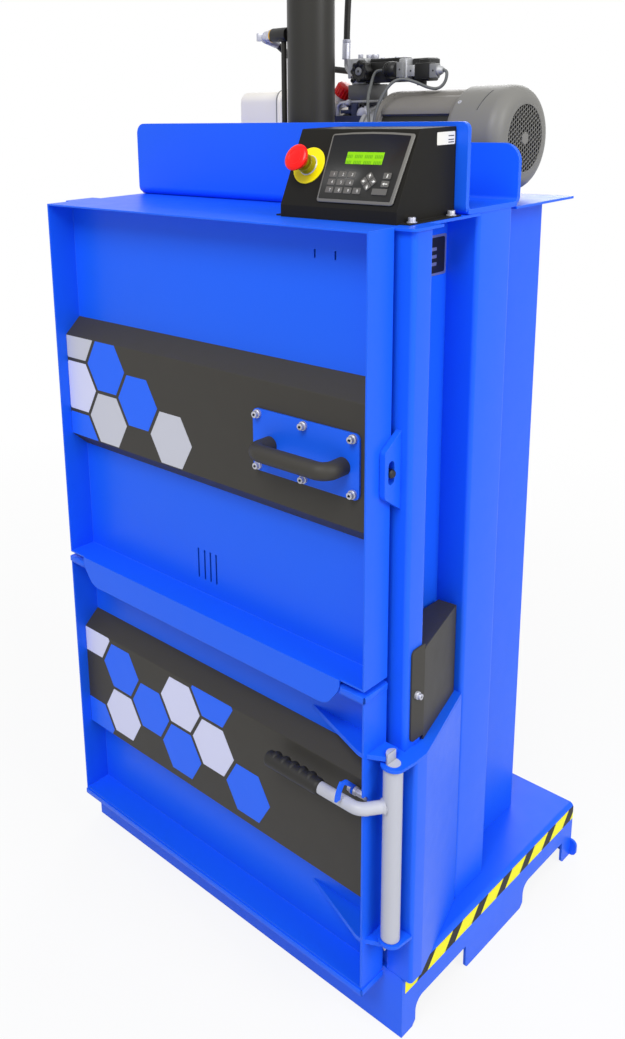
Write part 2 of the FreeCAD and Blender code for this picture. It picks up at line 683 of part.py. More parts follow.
def side_column():
    """The right stiffening column, a channel on the wall that reaches the beam."""
    line = [(WALL_OUTER, COLUMN_FRONT), (COLUMN_SIDE, COLUMN_FRONT), (COLUMN_SIDE, COLUMN_REAR),
            (WALL_OUTER, COLUMN_REAR)]
    return folded("z", line, WALL_SHEET, POST_BEND, (BASE_HEIGHT, ROOF_TOP))


def roof_plate():
    """The roof, with ears over the posts and notches for the columns."""
    half = ROOF_HALF_WIDTH
    ear_end = SKIRT_FRONT + EAR_DEPTH
    notch_end = COLUMN_FRONT + COLUMN_NOTCH
    notch = WALL_OUTER
    right = [(EAR_REACH, SKIRT_FRONT, ROOF_CORNER), (EAR_REACH, ear_end), (half, ear_end),
             (half, COLUMN_FRONT), (notch, COLUMN_FRONT), (notch, notch_end), (half, notch_end),
             (half, BODY_REAR)]
    left = [(-p[0],) + tuple(p[1:]) for p in reversed(right)]
    plate = prism("z", right + left, (BODY_TOP, ROOF_TOP))
    barrel_hole = faceted((0, PRESS_Y, BODY_TOP - 1), (0, 0, 1), BARREL_RADIUS + 4, ROOF_SHEET + 2, LARGE_SIDES)
    return plate.cut(barrel_hole)


def cross_beam():
    """The channel across the roof that takes the cylinder's thrust."""
    line = [(BEAM_FRONT, BEAM_FRONT_TOP), (BEAM_FRONT, ROOF_TOP), (BEAM_REAR, ROOF_TOP), (BEAM_REAR, BEAM_REAR_TOP)]
    half = BEAM_HALF_WIDTH
    channel = folded("x", line, BEAM_SHEET, BEAM_BEND, (-half, half))
    middle = (BEAM_FRONT + BEAM_REAR) / 2
    low = BEAM_RIGHT_CORNER
    front = prism("y", [(-half, ROOF_TOP, low), (half, ROOF_TOP, low),
                        (half, BEAM_FRONT_TOP, BEAM_RIGHT_CORNER), (-half, BEAM_FRONT_TOP, BEAM_LEFT_CORNER)],
                  (BEAM_FRONT - 1, BEAM_FRONT + BEAM_SHEET))
    web = block((-half, half), (BEAM_FRONT + BEAM_SHEET, BEAM_REAR - BEAM_SHEET), (ROOF_TOP, BEAM_FRONT_TOP))
    rear = prism("y", [(-half, ROOF_TOP, low), (half, ROOF_TOP, low),
                       (half, BEAM_REAR_TOP, BEAM_REAR_CORNER), (-half, BEAM_REAR_TOP, BEAM_REAR_CORNER)],
                 (BEAM_REAR - BEAM_SHEET, BEAM_REAR + 1))
    keep = front.fuse([web, rear])
    beam = channel.common(keep)
    barrel_hole = faceted((0, PRESS_Y, ROOF_TOP - 1), (0, 0, 1), BARREL_RADIUS + 2, BEAM_SHEET + 2, LARGE_SIDES)
    cable_hole = faceted((half - 60, middle, ROOF_TOP - 1), (0, 0, 1), 11, BEAM_SHEET + 2, SMALL_SIDES)
    return beam.cut(barrel_hole).cut(cable_hole).removeSplitter()


def lever_skirt():
    """The folded guard behind the closing lever."""
    end = (COLUMN_SIDE + 0.5, COLUMN_FRONT - SEAT)
    line = [(SKIRT_LEFT, POST_FRONT), (SKIRT_LEFT, SKIRT_FRONT), (SKIRT_SIDE, SKIRT_FRONT),
            (SKIRT_SIDE, SKIRT_CORNER), end]
    return folded("z", line, SKIRT_SHEET, 3.0, (BASE_HEIGHT, UPPER_LOCK))


def lock_plates():
    """Two tongues that hold the lever's pins; the upper one also closes the guard."""
    x, y, r = LEVER_X, LEVER_Y, TONGUE_RADIUS
    arc = r - 0.01
    nose = [(x - r, y - r, arc), (x + r, y - r, arc)]
    upper = [(SKIRT_LEFT, POST_FRONT), (SKIRT_LEFT, SKIRT_FRONT), (x - r, SKIRT_FRONT)] + nose
    upper += [(x + r + 1, y), (SKIRT_SIDE, SKIRT_FRONT, 6), (SKIRT_SIDE, SKIRT_CORNER, 10),
              (COLUMN_SIDE, COLUMN_FRONT - SEAT), (WALL_OUTER, COLUMN_FRONT - SEAT), (WALL_OUTER, POST_REAR),
              (POST_SIDE, POST_REAR), (POST_SIDE, POST_FRONT)]
    lower = [(x - r, SKIRT_FRONT)] + nose + [(x + r + 1, y), (SKIRT_SIDE, SKIRT_FRONT)]
    plates = []
    for outline, level in ((upper, UPPER_LOCK), (lower, LOWER_LOCK)):
        plate = prism("z", outline, (level, level + LOCK_PLATE))
        bore = rod((x, y, level - 1), (0, 0, 1), PIN_RADIUS + RUNNING, LOCK_PLATE + 2)
        plates.append(plate.cut(bore))
    return group(plates)


def latch_plate():
    """The keeper on the right post, with an upright slot for the latch bolt."""
    low, high = LATCH_SLOT
    outline = [(POST_FRONT, high + 42), (32, high + 16, 10), (32, low - 19, 10), (POST_FRONT, low - 46)]
    plate = prism("x", outline, LATCH_PLATE)
    return plate.cut(slot("x", (LATCH_Y, (low + high) / 2), 2 * LATCH_RADIUS + 0.8, high - low,
                          (LATCH_PLATE[0] - 1, LATCH_PLATE[1] + 1)))


def side_cover():
    """A dark folded cover on the post: front strip, slanted side and lid."""
    side = POST_SIDE
    strip = prism("x", [(COVER_FRONT, COVER_BOTTOM, 9), (POST_REAR, COVER_BOTTOM), (POST_REAR, COVER_TOP),
                        (COVER_FRONT, COVER_TOP, 9)], (side, side + COVER_SHEET))
    bolt_hole = rod((side - 1, COVER_BOLT[0], COVER_BOLT[1]), (1, 0, 0), 4.2, COVER_SHEET + 2)
    bottom = UPPER_LOCK + LOCK_PLATE + SEAT
    end = (COLUMN_SIDE - 13, COLUMN_FRONT - 5)
    panel = folded("z", [(side + COVER_SHEET, POST_REAR - 0.1), end], COVER_SHEET, 1.0, (bottom, COVER_LID))
    lid = prism("z", [(side, POST_REAR + 1.5), (side + COVER_SHEET, POST_REAR + 1.5), end,
                      (end[0] - 34, end[1] - 3), (WALL_OUTER + 10, POST_REAR + 30),
                      (WALL_OUTER + 10, POST_REAR + 1.5)],
                (COVER_LID, COVER_LID + COVER_SHEET))
    return strip.cut(bolt_hole).fuse([panel, lid]).removeSplitter()


def cover_bolt():
    """The socket bolt of the side cover."""
    y, z = COVER_BOLT
    head = faceted((POST_SIDE + COVER_SHEET + 0.01, y, z), (1, 0, 0), 6.5, 7, SMALL_SIDES)
    shank = faceted((POST_SIDE + 0.01, y, z), (1, 0, 0), 4, COVER_SHEET + 1, SMALL_SIDES)
    return head.fuse(shank)


def rating_plate():
    """A bare plate on the wall behind the right post."""
    rear = COLUMN_FRONT - RATING_GAP
    front = rear - RATING_WIDTH
    high = BODY_TOP - RATING_DROP
    low = high - RATING_HEIGHT
    r = RATING_CORNER
    outline = [(front, low, r), (rear, low, r), (rear, high, r), (front, high, r)]
    return prism("x", outline, (WALL_OUTER, WALL_OUTER + RATING_SHEET))


# ---- hinges -------------------------------------------------------------

def hinge_bracket(middle):
    """Two lugs on one web from the left post, joined by the hinge pin."""
    half = KNUCKLE_LENGTH / 2 + KNUCKLE_GAP
    total = half + KNUCKLE_END
    r = KNUCKLE_RADIUS
    body = block((HINGE_X - r, HINGE_X + r), (HINGE_Y - r, POST_FRONT), (middle - total, middle + total))
    body = body.cut(block((HINGE_X - r - 1, HINGE_X + r + 1), (HINGE_Y - r - 1, HINGE_Y + 1.42 * r + 1),
                          (middle - half, middle + half)))
    body = body.cut(block((HINGE_X - r - 1, HINGE_X - HINGE_WEB / 2), (HINGE_Y + r, POST_FRONT + 1),
                          (middle - total - 1, middle + total + 1)))
    pin = faceted((HINGE_X, HINGE_Y, middle - half - 1), (0, 0, 1), HINGE_PIN, 2 * half + 2, MIDDLE_SIDES)
    return body.fuse(pin).removeSplitter()


def door_knuckle(middle):
    """The door's half of a hinge: a bored lug welded to the door's flange."""
    half = KNUCKLE_LENGTH / 2
    r = KNUCKLE_RADIUS
    body = block((HINGE_X - r, -DOOR_HALF), (HINGE_Y - r, HINGE_Y + r), (middle - half, middle + half))
    bore = faceted((HINGE_X, HINGE_Y, middle - half - 1), (0, 0, 1), HINGE_BORE, KNUCKLE_LENGTH + 2, MIDDLE_SIDES)
    return body.cut(bore)


# ---- doors --------------------------------------------------------------

def door_tray(bottom, top):
    """A panel with two side flanges and top and bottom flanges, open to the front."""
    outer = block((-DOOR_HALF, DOOR_HALF), (0, DOOR_DEPTH), (bottom, top))
    inner = block((-DOOR_INNER, DOOR_INNER), (-1, PANEL_FRONT), (bottom + DOOR_SHEET, top - DOOR_SHEET))
    return outer.cut(inner)


def upper_door_tray():
    """The loading door, with its pelmet, vent slots and the hole for the latch bolt."""
    tray = door_tray(UPPER_BOTTOM, UPPER_TOP)
    low = UPPER_BOTTOM - PELMET_DROP
    bottom_half = PELMET_HALF - PELMET_CORNER
    pelmet = prism("y", [(-PELMET_HALF, UPPER_BOTTOM + DOOR_SHEET), (-PELMET_HALF, low + PELMET_CORNER * 1.4, 30),
                         (-bottom_half, low, 30), (bottom_half, low, 30),
                         (PELMET_HALF, low + PELMET_CORNER * 1.4, 30), (PELMET_HALF, UPPER_BOTTOM + DOOR_SHEET)],
                   (-PELMET_GAP - DOOR_SHEET, -PELMET_GAP))
    flange = block((-PELMET_HALF, PELMET_HALF), (-PELMET_GAP - DOOR_SHEET, DOOR_SHEET),
                   (UPPER_BOTTOM, UPPER_BOTTOM + DOOR_SHEET))
    guide = block((GUIDE_SPAN[0], GUIDE_SPAN[1]), (LATCH_Y - 12, PANEL_FRONT), (LATCH_Z - 12, LATCH_Z + 12))
    guide = guide.cut(rod((GUIDE_SPAN[0] - 1, LATCH_Y, LATCH_Z), (1, 0, 0), LATCH_RADIUS + RUNNING,
                          GUIDE_SPAN[1] - GUIDE_SPAN[0] + 2))
    tray = tray.fuse([pelmet, flange, guide])
    for x in VENT_SLOTS:
        tray = tray.cut(block((x - VENT_WIDTH / 2, x + VENT_WIDTH / 2), (PANEL_FRONT - 1, DOOR_DEPTH + 1),
                              VENT_SPAN))
    for x in TOP_SLOTS:
        tray = tray.cut(block((x - TOP_SLOT_WIDTH / 2, x + TOP_SLOT_WIDTH / 2),
                              (PANEL_FRONT - 1, DOOR_DEPTH + 1), TOP_SLOT_SPAN))
    bolt_hole = rod((DOOR_INNER - 1, LATCH_Y, LATCH_Z), (1, 0, 0), LATCH_RADIUS + SEAT, DOOR_SHEET + 2)
    return tray.cut(bolt_hole).removeSplitter()


def claw_outline(grow=0.0):
    """Gusset inside the door and claw outside it, as one plate seen from above."""
    back = DOOR_DEPTH - DOOR_SHEET
    front = 7.0 - grow
    return [(DOOR_INNER - GUSSET_REACH, back), (DOOR_INNER - 15, front, 8), (DOOR_INNER, 5 - grow),
            (DOOR_HALF, 9 - grow), (CLAW_REACH, LEVER_Y - PIN_RADIUS - 1, 1), (CLAW_REACH, back)]


def lock_claws():
    """Two thick plates: each is a gusset inside the flange and a claw outside it."""
    plates = []
    for bottom in (UPPER_CLAW, LOWER_CLAW):
        plate = prism("z", claw_outline(), (bottom, bottom + CLAW_SHEET))
        notch = rod((LEVER_X, LEVER_Y, bottom - 1), (0, 0, 1), PIN_RADIUS + CLAW_CLEARANCE, CLAW_SHEET + 2)
        plates.append(plate.cut(notch))
    return group(plates)


def lower_door_tray():
    """The bale door, with its lips, slots for the claws and the notch for the lever's arm."""
    top_plate = LOWER_TOP
    bottom_plate = LOWER_BOTTOM + LIP
    tray = door_tray(bottom_plate - DOOR_SHEET, top_plate)
    header_lip = block((-DOOR_HALF, DOOR_HALF), (0, DOOR_SHEET), (top_plate - LIP, top_plate))
    bottom_lip = block((-DOOR_HALF, DOOR_HALF), (0, DOOR_SHEET), (LOWER_BOTTOM, bottom_plate))
    tray = tray.fuse([header_lip, bottom_lip])
    for bottom in (UPPER_CLAW, LOWER_CLAW):
        tray = tray.cut(prism("z", claw_outline(), (bottom, bottom + CLAW_SHEET)))
    low, high = ARM_NOTCH
    notch = prism("x", [(-1, low), (ARM_NOTCH_DEPTH, low, 10), (ARM_NOTCH_DEPTH, high, 12), (-1, high)],
                  (DOOR_INNER - 1, DOOR_HALF + 1))
    return tray.cut(notch).removeSplitter()


def band(levels):
    """A hat-section stiffener across a door."""
    low, face_low, face_high, high = levels
    line = [(PANEL_FRONT, high), (BAND_FRONT, face_high), (BAND_FRONT, face_low), (PANEL_FRONT, low)]
    sheet = folded("x", line, BAND_SHEET, 1.0, (-DOOR_INNER, DOOR_INNER))
    return sheet.common(block((-DOOR_INNER, DOOR_INNER), (0, PANEL_FRONT), (low, high)))


def upper_door_band():
    """The upper stiffener, with its clearance round the latch bolt."""
    return band(UPPER_BAND)


def handle_plate():
    x, z, r = PLATE_SPAN, PLATE_RISE, PLATE_CORNER
    outline = [(x[0], z[0], r), (x[1], z[0], r), (x[1], z[1], r), (x[0], z[1], r)]
    return prism("y", outline, (BAND_FRONT - PLATE_SHEET, BAND_FRONT))


def door_handle():
    """A bow handle of round bar."""
    left, right = HANDLE_SPAN
    seat = BAND_FRONT - PLATE_SHEET
    points = [(left, seat, HANDLE_Z), (left, HANDLE_Y, HANDLE_Z), (right, HANDLE_Y, HANDLE_Z),
              (right, seat, HANDLE_Z)]
    return tube_along(points, [HANDLE_BEND, HANDLE_BEND], HANDLE_RADIUS)


def handle_screws():
    """Six socket screws, each on a tall collar."""
    screws = []
    seat = BAND_FRONT - PLATE_SHEET
    for x in SCREW_COLUMNS:
        for z in SCREW_ROWS:
            collar = faceted((x, seat - 4, z), (0, 1, 0), 7.5, 4, SMALL_SIDES)
            head = faceted((x, seat - 13, z), (0, 1, 0), 5.0, 9, SMALL_SIDES)
            screws.append(collar.fuse(head))
    return group(screws)


def latch_bolt():
    """The round bolt that reaches through the flange into the keeper."""
    start = LATCH_END - LATCH_LENGTH
    bar = rod((start, LATCH_Y, LATCH_Z), (1, 0, 0), LATCH_RADIUS, LATCH_LENGTH)
    return bar


# ---- closing lever and catch --------------------------------------------

def closing_lever():
    """A tube with a pin through it that ends in two half-moons, and the bent arm."""
    x, y = LEVER_X, LEVER_Y
    low = LOWER_LOCK - HALF_MOON + 3
    high = UPPER_LOCK + LOCK_PLATE + HALF_MOON
    body = rod((x, y, LEVER_BOTTOM), (0, 0, 1), LEVER_RADIUS, LEVER_TOP - LEVER_BOTTOM)
    pin = rod((x, y, low), (0, 0, 1), PIN_RADIUS, high - low)
    cut_x = x - PIN_FLAT
    reach = 2 * PIN_RADIUS
    upper_cut = block((cut_x, x + reach), (y - reach, y + reach), (UPPER_LOCK + LOCK_PLATE + 1, high + 1))
    lower_cut = block((cut_x, x + reach), (y - reach, y + reach), (low - 1, LOWER_LOCK - SEAT))
    pin = pin.cut(upper_cut).cut(lower_cut)
    arm = tube_along([(x, y, ARM_HEIGHT), (ARM_BEND_X, ARM_Y, ARM_HEIGHT), (GRIP_END + 8, ARM_Y, ARM_HEIGHT)],
                     [ARM_BEND], ARM_RADIUS)
    return body.fuse([pin, arm]).removeSplitter()


def lever_grip():
    """A black sleeve with finger rests along its upper back."""
    length = GRIP_ROOT - GRIP_END
    start = (GRIP_END, ARM_Y, ARM_HEIGHT)
    sleeve = faceted(start, (1, 0, 0), GRIP_RADIUS, length, MIDDLE_SIDES)
    pitch = (length - 20) / GRIP_RESTS
    for i in range(GRIP_RESTS):
        x = GRIP_END + 12 + pitch * i
        rest = faceted((x, ARM_Y + 2, ARM_HEIGHT + 2), (1, 0, 0), GRIP_RADIUS, pitch * 0.55, MIDDLE_SIDES)
        sleeve = sleeve.fuse(rest)
    bore = faceted((GRIP_END + 8 - SEAT, ARM_Y, ARM_HEIGHT), (1, 0, 0), ARM_RADIUS + 0.2, length, MIDDLE_SIDES)
    return sleeve.cut(bore).removeSplitter()


def lock_catch():
    """A hook plate that drops over the arm; built closed, then turned open about its bolt."""
    y, z = CATCH_Y, CATCH_Z
    span = (CATCH_X, CATCH_X + CATCH_SHEET)
    start = (CATCH_X, y, z)
    far = 2 * CATCH_OUTER
    tip = math.radians(180 + CATCH_TIP)
    wedge = prism("x", [(y, z), (y - far, z + 8), (y + far * math.cos(tip), z + far * math.sin(tip))], span)
    nose = rod(start, (1, 0, 0), CATCH_OUTER, CATCH_SHEET)
    nose = nose.cut(rod(start, (1, 0, 0), CATCH_INNER, CATCH_SHEET)).common(wedge)
    low = ARM_HEIGHT + ARM_RADIUS + 0.6
    web = prism("x", [(y, low), (y, z + CATCH_EYE), (y - CATCH_INNER + 4, z + CATCH_EYE + 3, 12),
                      (y - CATCH_OUTER + 0.2, z + 2), (y - CATCH_INNER, z + 1), (y - CATCH_INNER + 2, low)], span)
    eye = rod(start, (1, 0, 0), CATCH_EYE, CATCH_SHEET)
    bore = rod((CATCH_X - 1, y, z), (1, 0, 0), CATCH_PIN + RUNNING, CATCH_SHEET + 2)
    hook = nose.fuse([web, eye]).cut(bore).removeSplitter()
    hook.rotate(V(0, y, z), V(-1, 0, 0), CATCH_LIFT)
    return hook


def catch_bolt():
    """The shoulder bolt that carries the catch, with two washers, on the door's flange."""
    y, z = CATCH_Y, CATCH_Z
    start = CATCH_X + CATCH_SHEET + SEAT
    pin = rod((CATCH_X - 3, y, z), (1, 0, 0), CATCH_PIN, DOOR_INNER - CATCH_X + 3)
    head = faceted((CATCH_X - 8, y, z), (1, 0, 0), 6, 5.5, SMALL_SIDES)
    left = faceted((CATCH_X - 3, y, z), (1, 0, 0), CATCH_EYE - 0.2, 3 - SEAT, SMALL_SIDES)
    right = faceted((start, y, z), (1, 0, 0), CATCH_EYE - 0.2, 5, SMALL_SIDES)
    nut = faceted((start + 4, y, z), (1, 0, 0), 6.6, DOOR_INNER - start - 4, 6)
    return pin.fuse([head, left, right, nut]).removeSplitter()


# ---- press --------------------------------------------------------------

def cylinder_barrel():
    """The barrel, closed at the top, with a port boss at each end."""
    height = BARREL_TOP - BARREL_BOTTOM
    body = rod((0, PRESS_Y, BARREL_BOTTOM), (0, 0, 1), BARREL_RADIUS, height)
    toward = V(PIPE_X, PIPE_Y - PRESS_Y, 0).normalize()
    angle = math.degrees(math.atan2(toward.y, toward.x))
    boss = block((BARREL_RADIUS - 4, BARREL_RADIUS + 17), (-11, 11), (PORT_Z - 12, PORT_Z + 12))
    boss.rotate(V(0, 0, 0), V(0, 0, 1), angle)
    boss.translate(V(0, PRESS_Y, 0))
    hose_way = V(LONG_HOSE[0], LONG_HOSE[1] - PRESS_Y, 0).normalize()
    port = faceted((0, PRESS_Y, TOP_PORT_Z), tuple(hose_way), 11, BARREL_RADIUS + 8, SMALL_SIDES)
    bore = rod((0, PRESS_Y, BARREL_BOTTOM - 1), (0, 0, 1), BORE_RADIUS, height - CAP_THICKNESS + 1)
    return body.fuse([boss, port]).cut(bore).removeSplitter()


def cylinder_gland():
    """The screwed gland that closes the barrel round the rod."""
    flange = faceted((0, PRESS_Y, GLAND_BOTTOM), (0, 0, 1), BARREL_RADIUS + 2, BARREL_BOTTOM - GLAND_BOTTOM,
                     LARGE_SIDES)
    bore = rod((0, PRESS_Y, GLAND_BOTTOM - 1), (0, 0, 1), ROD_RADIUS + RUNNING,
               BARREL_BOTTOM - GLAND_BOTTOM + 2)
    return flange.cut(bore)


def cylinder_flange():
    """The square plate welded to the barrel, bolted down on the beam's web."""
    half = FLANGE_HALF_WIDTH
    plate = block((-half, half), FLANGE_SPAN, (WEB_TOP, WEB_TOP + FLANGE_THICKNESS))
    barrel = rod((0, PRESS_Y, WEB_TOP - 1), (0, 0, 1), BARREL_RADIUS + RUNNING, FLANGE_THICKNESS + 2)
    return plate.cut(barrel)


def flange_bolts():
    bolts = []
    reach = FLANGE_HALF_WIDTH - FLANGE_BOLT_INSET
    top = WEB_TOP + FLANGE_THICKNESS
    for x in (-reach, reach):
        for y in (FLANGE_SPAN[0] + FLANGE_BOLT_INSET, FLANGE_SPAN[1] - FLANGE_BOLT_INSET):
            head = Part.Face(ring(V(x, y, top), V(0, 0, 1), 12, 6))
            bolts.append(head.extrude(V(0, 0, 10)))
    return group(bolts)


def piston_rod():
    """Rod and piston, drawn up into the barrel."""
    bottom = PLATEN_BOTTOM + PLATEN_SHEET + SEAT
    piston_top = BARREL_TOP - CAP_THICKNESS - 5
    bar = rod((0, PRESS_Y, bottom), (0, 0, 1), ROD_RADIUS, piston_top - bottom)
    piston = rod((0, PRESS_Y, piston_top - PISTON_LENGTH), (0, 0, 1), BORE_RADIUS - RUNNING, PISTON_LENGTH)
    return bar.fuse(piston).removeSplitter()


def platen():
    """The press plate with its ribs and the hub for the rod."""
    half = PLATEN_WIDTH / 2
    top = PLATEN_BOTTOM + PLATEN_SHEET
    rib_top = top + PLATEN_RIB
    pieces = []
    t = PLATEN_RIB_SHEET
    for y in (PLATEN_FRONT, PLATEN_REAR - t):
        pieces.append(block((-half, half), (y, y + t), (top, rib_top)))
    for y in (PRESS_Y - 90, PRESS_Y + 90):
        pieces.append(block((-half, half), (y - t / 2, y + t / 2), (top, rib_top)))
    for x in (-half, half - t, -100 - t / 2, 100 - t / 2):
        pieces.append(block((x, x + t), (PLATEN_FRONT, PLATEN_REAR), (top, rib_top)))
    pieces.append(rod((0, PRESS_Y, top), (0, 0, 1), HUB_RADIUS, PLATEN_RIB))
    plate = block((-half, half), (PLATEN_FRONT, PLATEN_REAR), (PLATEN_BOTTOM, top))
    bore = rod((0, PRESS_Y, top), (0, 0, 1), ROD_RADIUS + RUNNING, PLATEN_RIB + 1)
    return plate.fuse(pieces).cut(bore).removeSplitter()


# ---- control console ----------------------------------------------------

def console_profile(inset):
    """Side view of the console; inset takes the sheet off every wall."""
    front, slope, back = CONSOLE_FRONT, CONSOLE_SLOPE_Y, CONSOLE_BACK
    lip = ROOF_TOP + CONSOLE_LIP
    if inset == 0:
        return [(front, ROOF_TOP), (front, lip, 2), (slope, CONSOLE_TOP, 2), (back, CONSOLE_TOP, 2),
                (back, ROOF_TOP)]
    low = ROOF_TOP - 1
    return [(front + inset, low), (front + inset, lip - 0.4), (slope + inset * 0.7, CONSOLE_TOP - inset),
            (back - inset, CONSOLE_TOP - inset), (back - inset, low)]


def console_housing():
    """A bent steel desk with a sloping face, open underneath, on two side feet."""
    left, right = CONSOLE_SPAN
    shell = prism("x", console_profile(0), CONSOLE_SPAN)
    hollow = prism("x", console_profile(CONSOLE_SHEET), (left + CONSOLE_SHEET, right - CONSOLE_SHEET))
    feet = []
    for x in ((left - CONSOLE_FOOT, left), (right, right + CONSOLE_FOOT)):
        feet.append(block(x, (CONSOLE_FRONT + 8, CONSOLE_BACK - 6), (ROOF_TOP, ROOF_TOP + CONSOLE_SHEET)))
    return shell.cut(hollow).fuse(feet).removeSplitter()


def slope_frame():
    """The slope's lower edge, its direction upwards and its outward normal."""
    origin = V(0, CONSOLE_FRONT, ROOF_TOP + CONSOLE_LIP)
    along = V(0, CONSOLE_SLOPE_Y - CONSOLE_FRONT, CONSOLE_HEIGHT - CONSOLE_LIP)
    length = along.Length
    along = along.normalize()
    normal = V(0, -along.z, along.y)
    return origin, along, normal, length


def on_slope(shape):
    """Lays a piece that was modelled flat, face up, on the sloping face."""
    origin, along, normal, length = slope_frame()
    turn = math.degrees(math.atan2(along.z, along.y))
    shape.rotate(V(0, 0, 0), V(1, 0, 0), turn)
    shape.translate(origin)
    return shape


def operator_panel():
    """The screen's raised bezel, with a recess for the display."""
    length = slope_frame()[3]
    wide, high = SCREEN_SIZE[0] / 2, SCREEN_SIZE[1] / 2
    middle = length / 2 - 1
    x = SCREEN_CENTRE_X
    plate = prism("z", [(x - wide, middle - high, 7), (x + wide, middle - high, 7),
                        (x + wide, middle + high, 7), (x - wide, middle + high, 7)], (0, SCREEN_THICKNESS))
    display = block((x - 36, x + 34), (middle + 14, middle + 38), (SCREEN_THICKNESS - 1, SCREEN_THICKNESS + 1))
    return on_slope(plate.cut(display))


def stop_button_base():
    """The round legend disc and the collar of the stop button."""
    disc = faceted((STOP_X, STOP_ALONG, 0), (0, 0, 1), STOP_DISC, 1.5, LARGE_SIDES)
    collar = faceted((STOP_X, STOP_ALONG, 1.5), (0, 0, 1), STOP_COLLAR, 8, MIDDLE_SIDES)
    bore = faceted((STOP_X, STOP_ALONG, 1.5), (0, 0, 1), STOP_STEM + 0.1, 9, MIDDLE_SIDES)
    return on_slope(disc.fuse(collar).cut(bore).removeSplitter())


def stop_button():
    """The red mushroom head and its stem, standing clear of the collar by its travel."""
    low = 9.5 + STOP_TRAVEL + 1
    stem = faceted((STOP_X, STOP_ALONG, 3 + STOP_TRAVEL), (0, 0, 1), STOP_STEM, low - 2 - STOP_TRAVEL,
                   MIDDLE_SIDES)
    stations = [(0, STOP_HEAD - 4), (4, STOP_HEAD), (9, STOP_HEAD - 1), (13, STOP_HEAD - 5), (15, STOP_HEAD - 12)]
    head = turned((STOP_X, STOP_ALONG, low), (0, 0, 1), stations, MIDDLE_SIDES)
    return on_slope(head.fuse(stem).removeSplitter())


def console_bolts():
    """Four socket bolts through the console's feet."""
    bolts = []
    left, right = CONSOLE_SPAN
    for x in (left - CONSOLE_FOOT / 2 - 1, right + CONSOLE_FOOT / 2 + 1):
        for y in (CONSOLE_FRONT + 24, CONSOLE_BACK - 22):
            bolts.append(faceted((x, y, ROOF_TOP + CONSOLE_SHEET), (0, 0, 1), 5.5, 8, SMALL_SIDES))
    return group(bolts)


# ---- power pack ---------------------------------------------------------

def oil_tank():
    """A moulded tank with a raised seam, standing on two feet, and its filler neck."""
    half = TANK_SIDE / 2
    left, right = TANK_SPAN
    r = TANK_CORNER
    y = (PACK_Y - half, PACK_Y + half)
    bottom, top = ROOF_TOP + TANK_FOOT, ROOF_TOP + TANK_FOOT + TANK_SIDE
    section = [(y[0], bottom, r), (y[1], bottom, r), (y[1], top, r), (y[0], top, r)]
    body = prism("x", section, TANK_SPAN)
    lip = 3.0
    ridge = [(y[0] - lip, bottom - lip, r), (y[1] + lip, bottom - lip, r), (y[1] + lip, top + lip, r),
             (y[0] - lip, top + lip, r)]
    seam = prism("x", ridge, (TANK_RIDGE - 4, TANK_RIDGE + 4))
    feet = []
    for x in (left + 24, right - 54):
        feet.append(block((x, x + 30), (y[0] + 20, y[1] - 20), (ROOF_TOP, bottom + 1)))
    heading = V(*FILLER_HEADING)
    start = V(*FILLER_CENTRE) - heading * FILLER_NECK
    neck = faceted(tuple(start), tuple(heading), FILLER_RADIUS, FILLER_NECK, MIDDLE_SIDES)
    return body.fuse([seam, neck] + feet).removeSplitter()


def filler_cap():
    """A cap over the filler neck."""
    heading = V(*FILLER_HEADING)
    end = V(*FILLER_CENTRE)
    outer = faceted(tuple(end - heading * 11), tuple(heading), CAP_RADIUS, 22, MIDDLE_SIDES)
    hollow = faceted(tuple(end - heading * 12), tuple(heading), FILLER_RADIUS + SEAT, 12 + SEAT, MIDDLE_SIDES)
    return outer.cut(hollow)


def pump_block():
    """The pump housing between tank and motor."""
    half = BLOCK_SIDE / 2
    x = BLOCK_SPAN
    body = block(x, (PACK_Y - half, PACK_Y + half), (PACK_Z - half, PACK_Z + half))
    riser = block((-30, SHIELD_SPAN[0] - 3), (PACK_Y - 26, PACK_Y + 26), (PACK_Z + half, SUBPLATE_RISE[0]))
    boss = faceted((TANK_SPAN[1] + SEAT, PACK_Y, PACK_Z - 14), (1, 0, 0), 27, x[0] - TANK_SPAN[1], MIDDLE_SIDES)
    return body.fuse([riser, boss]).removeSplitter()


def end_shield():
    """The motor's drive-end shield with its stepped boss."""
    x0, x1 = SHIELD_SPAN
    depth = x1 - x0
    stations = [(0, 56), (12, 58), (14, SHIELD_RADIUS - 20), (depth - 10, SHIELD_RADIUS - 4),
                (depth - 9, SHIELD_RADIUS), (depth, SHIELD_RADIUS)]
    return turned((x0, PACK_Y, PACK_Z), (1, 0, 0), stations, LARGE_SIDES)


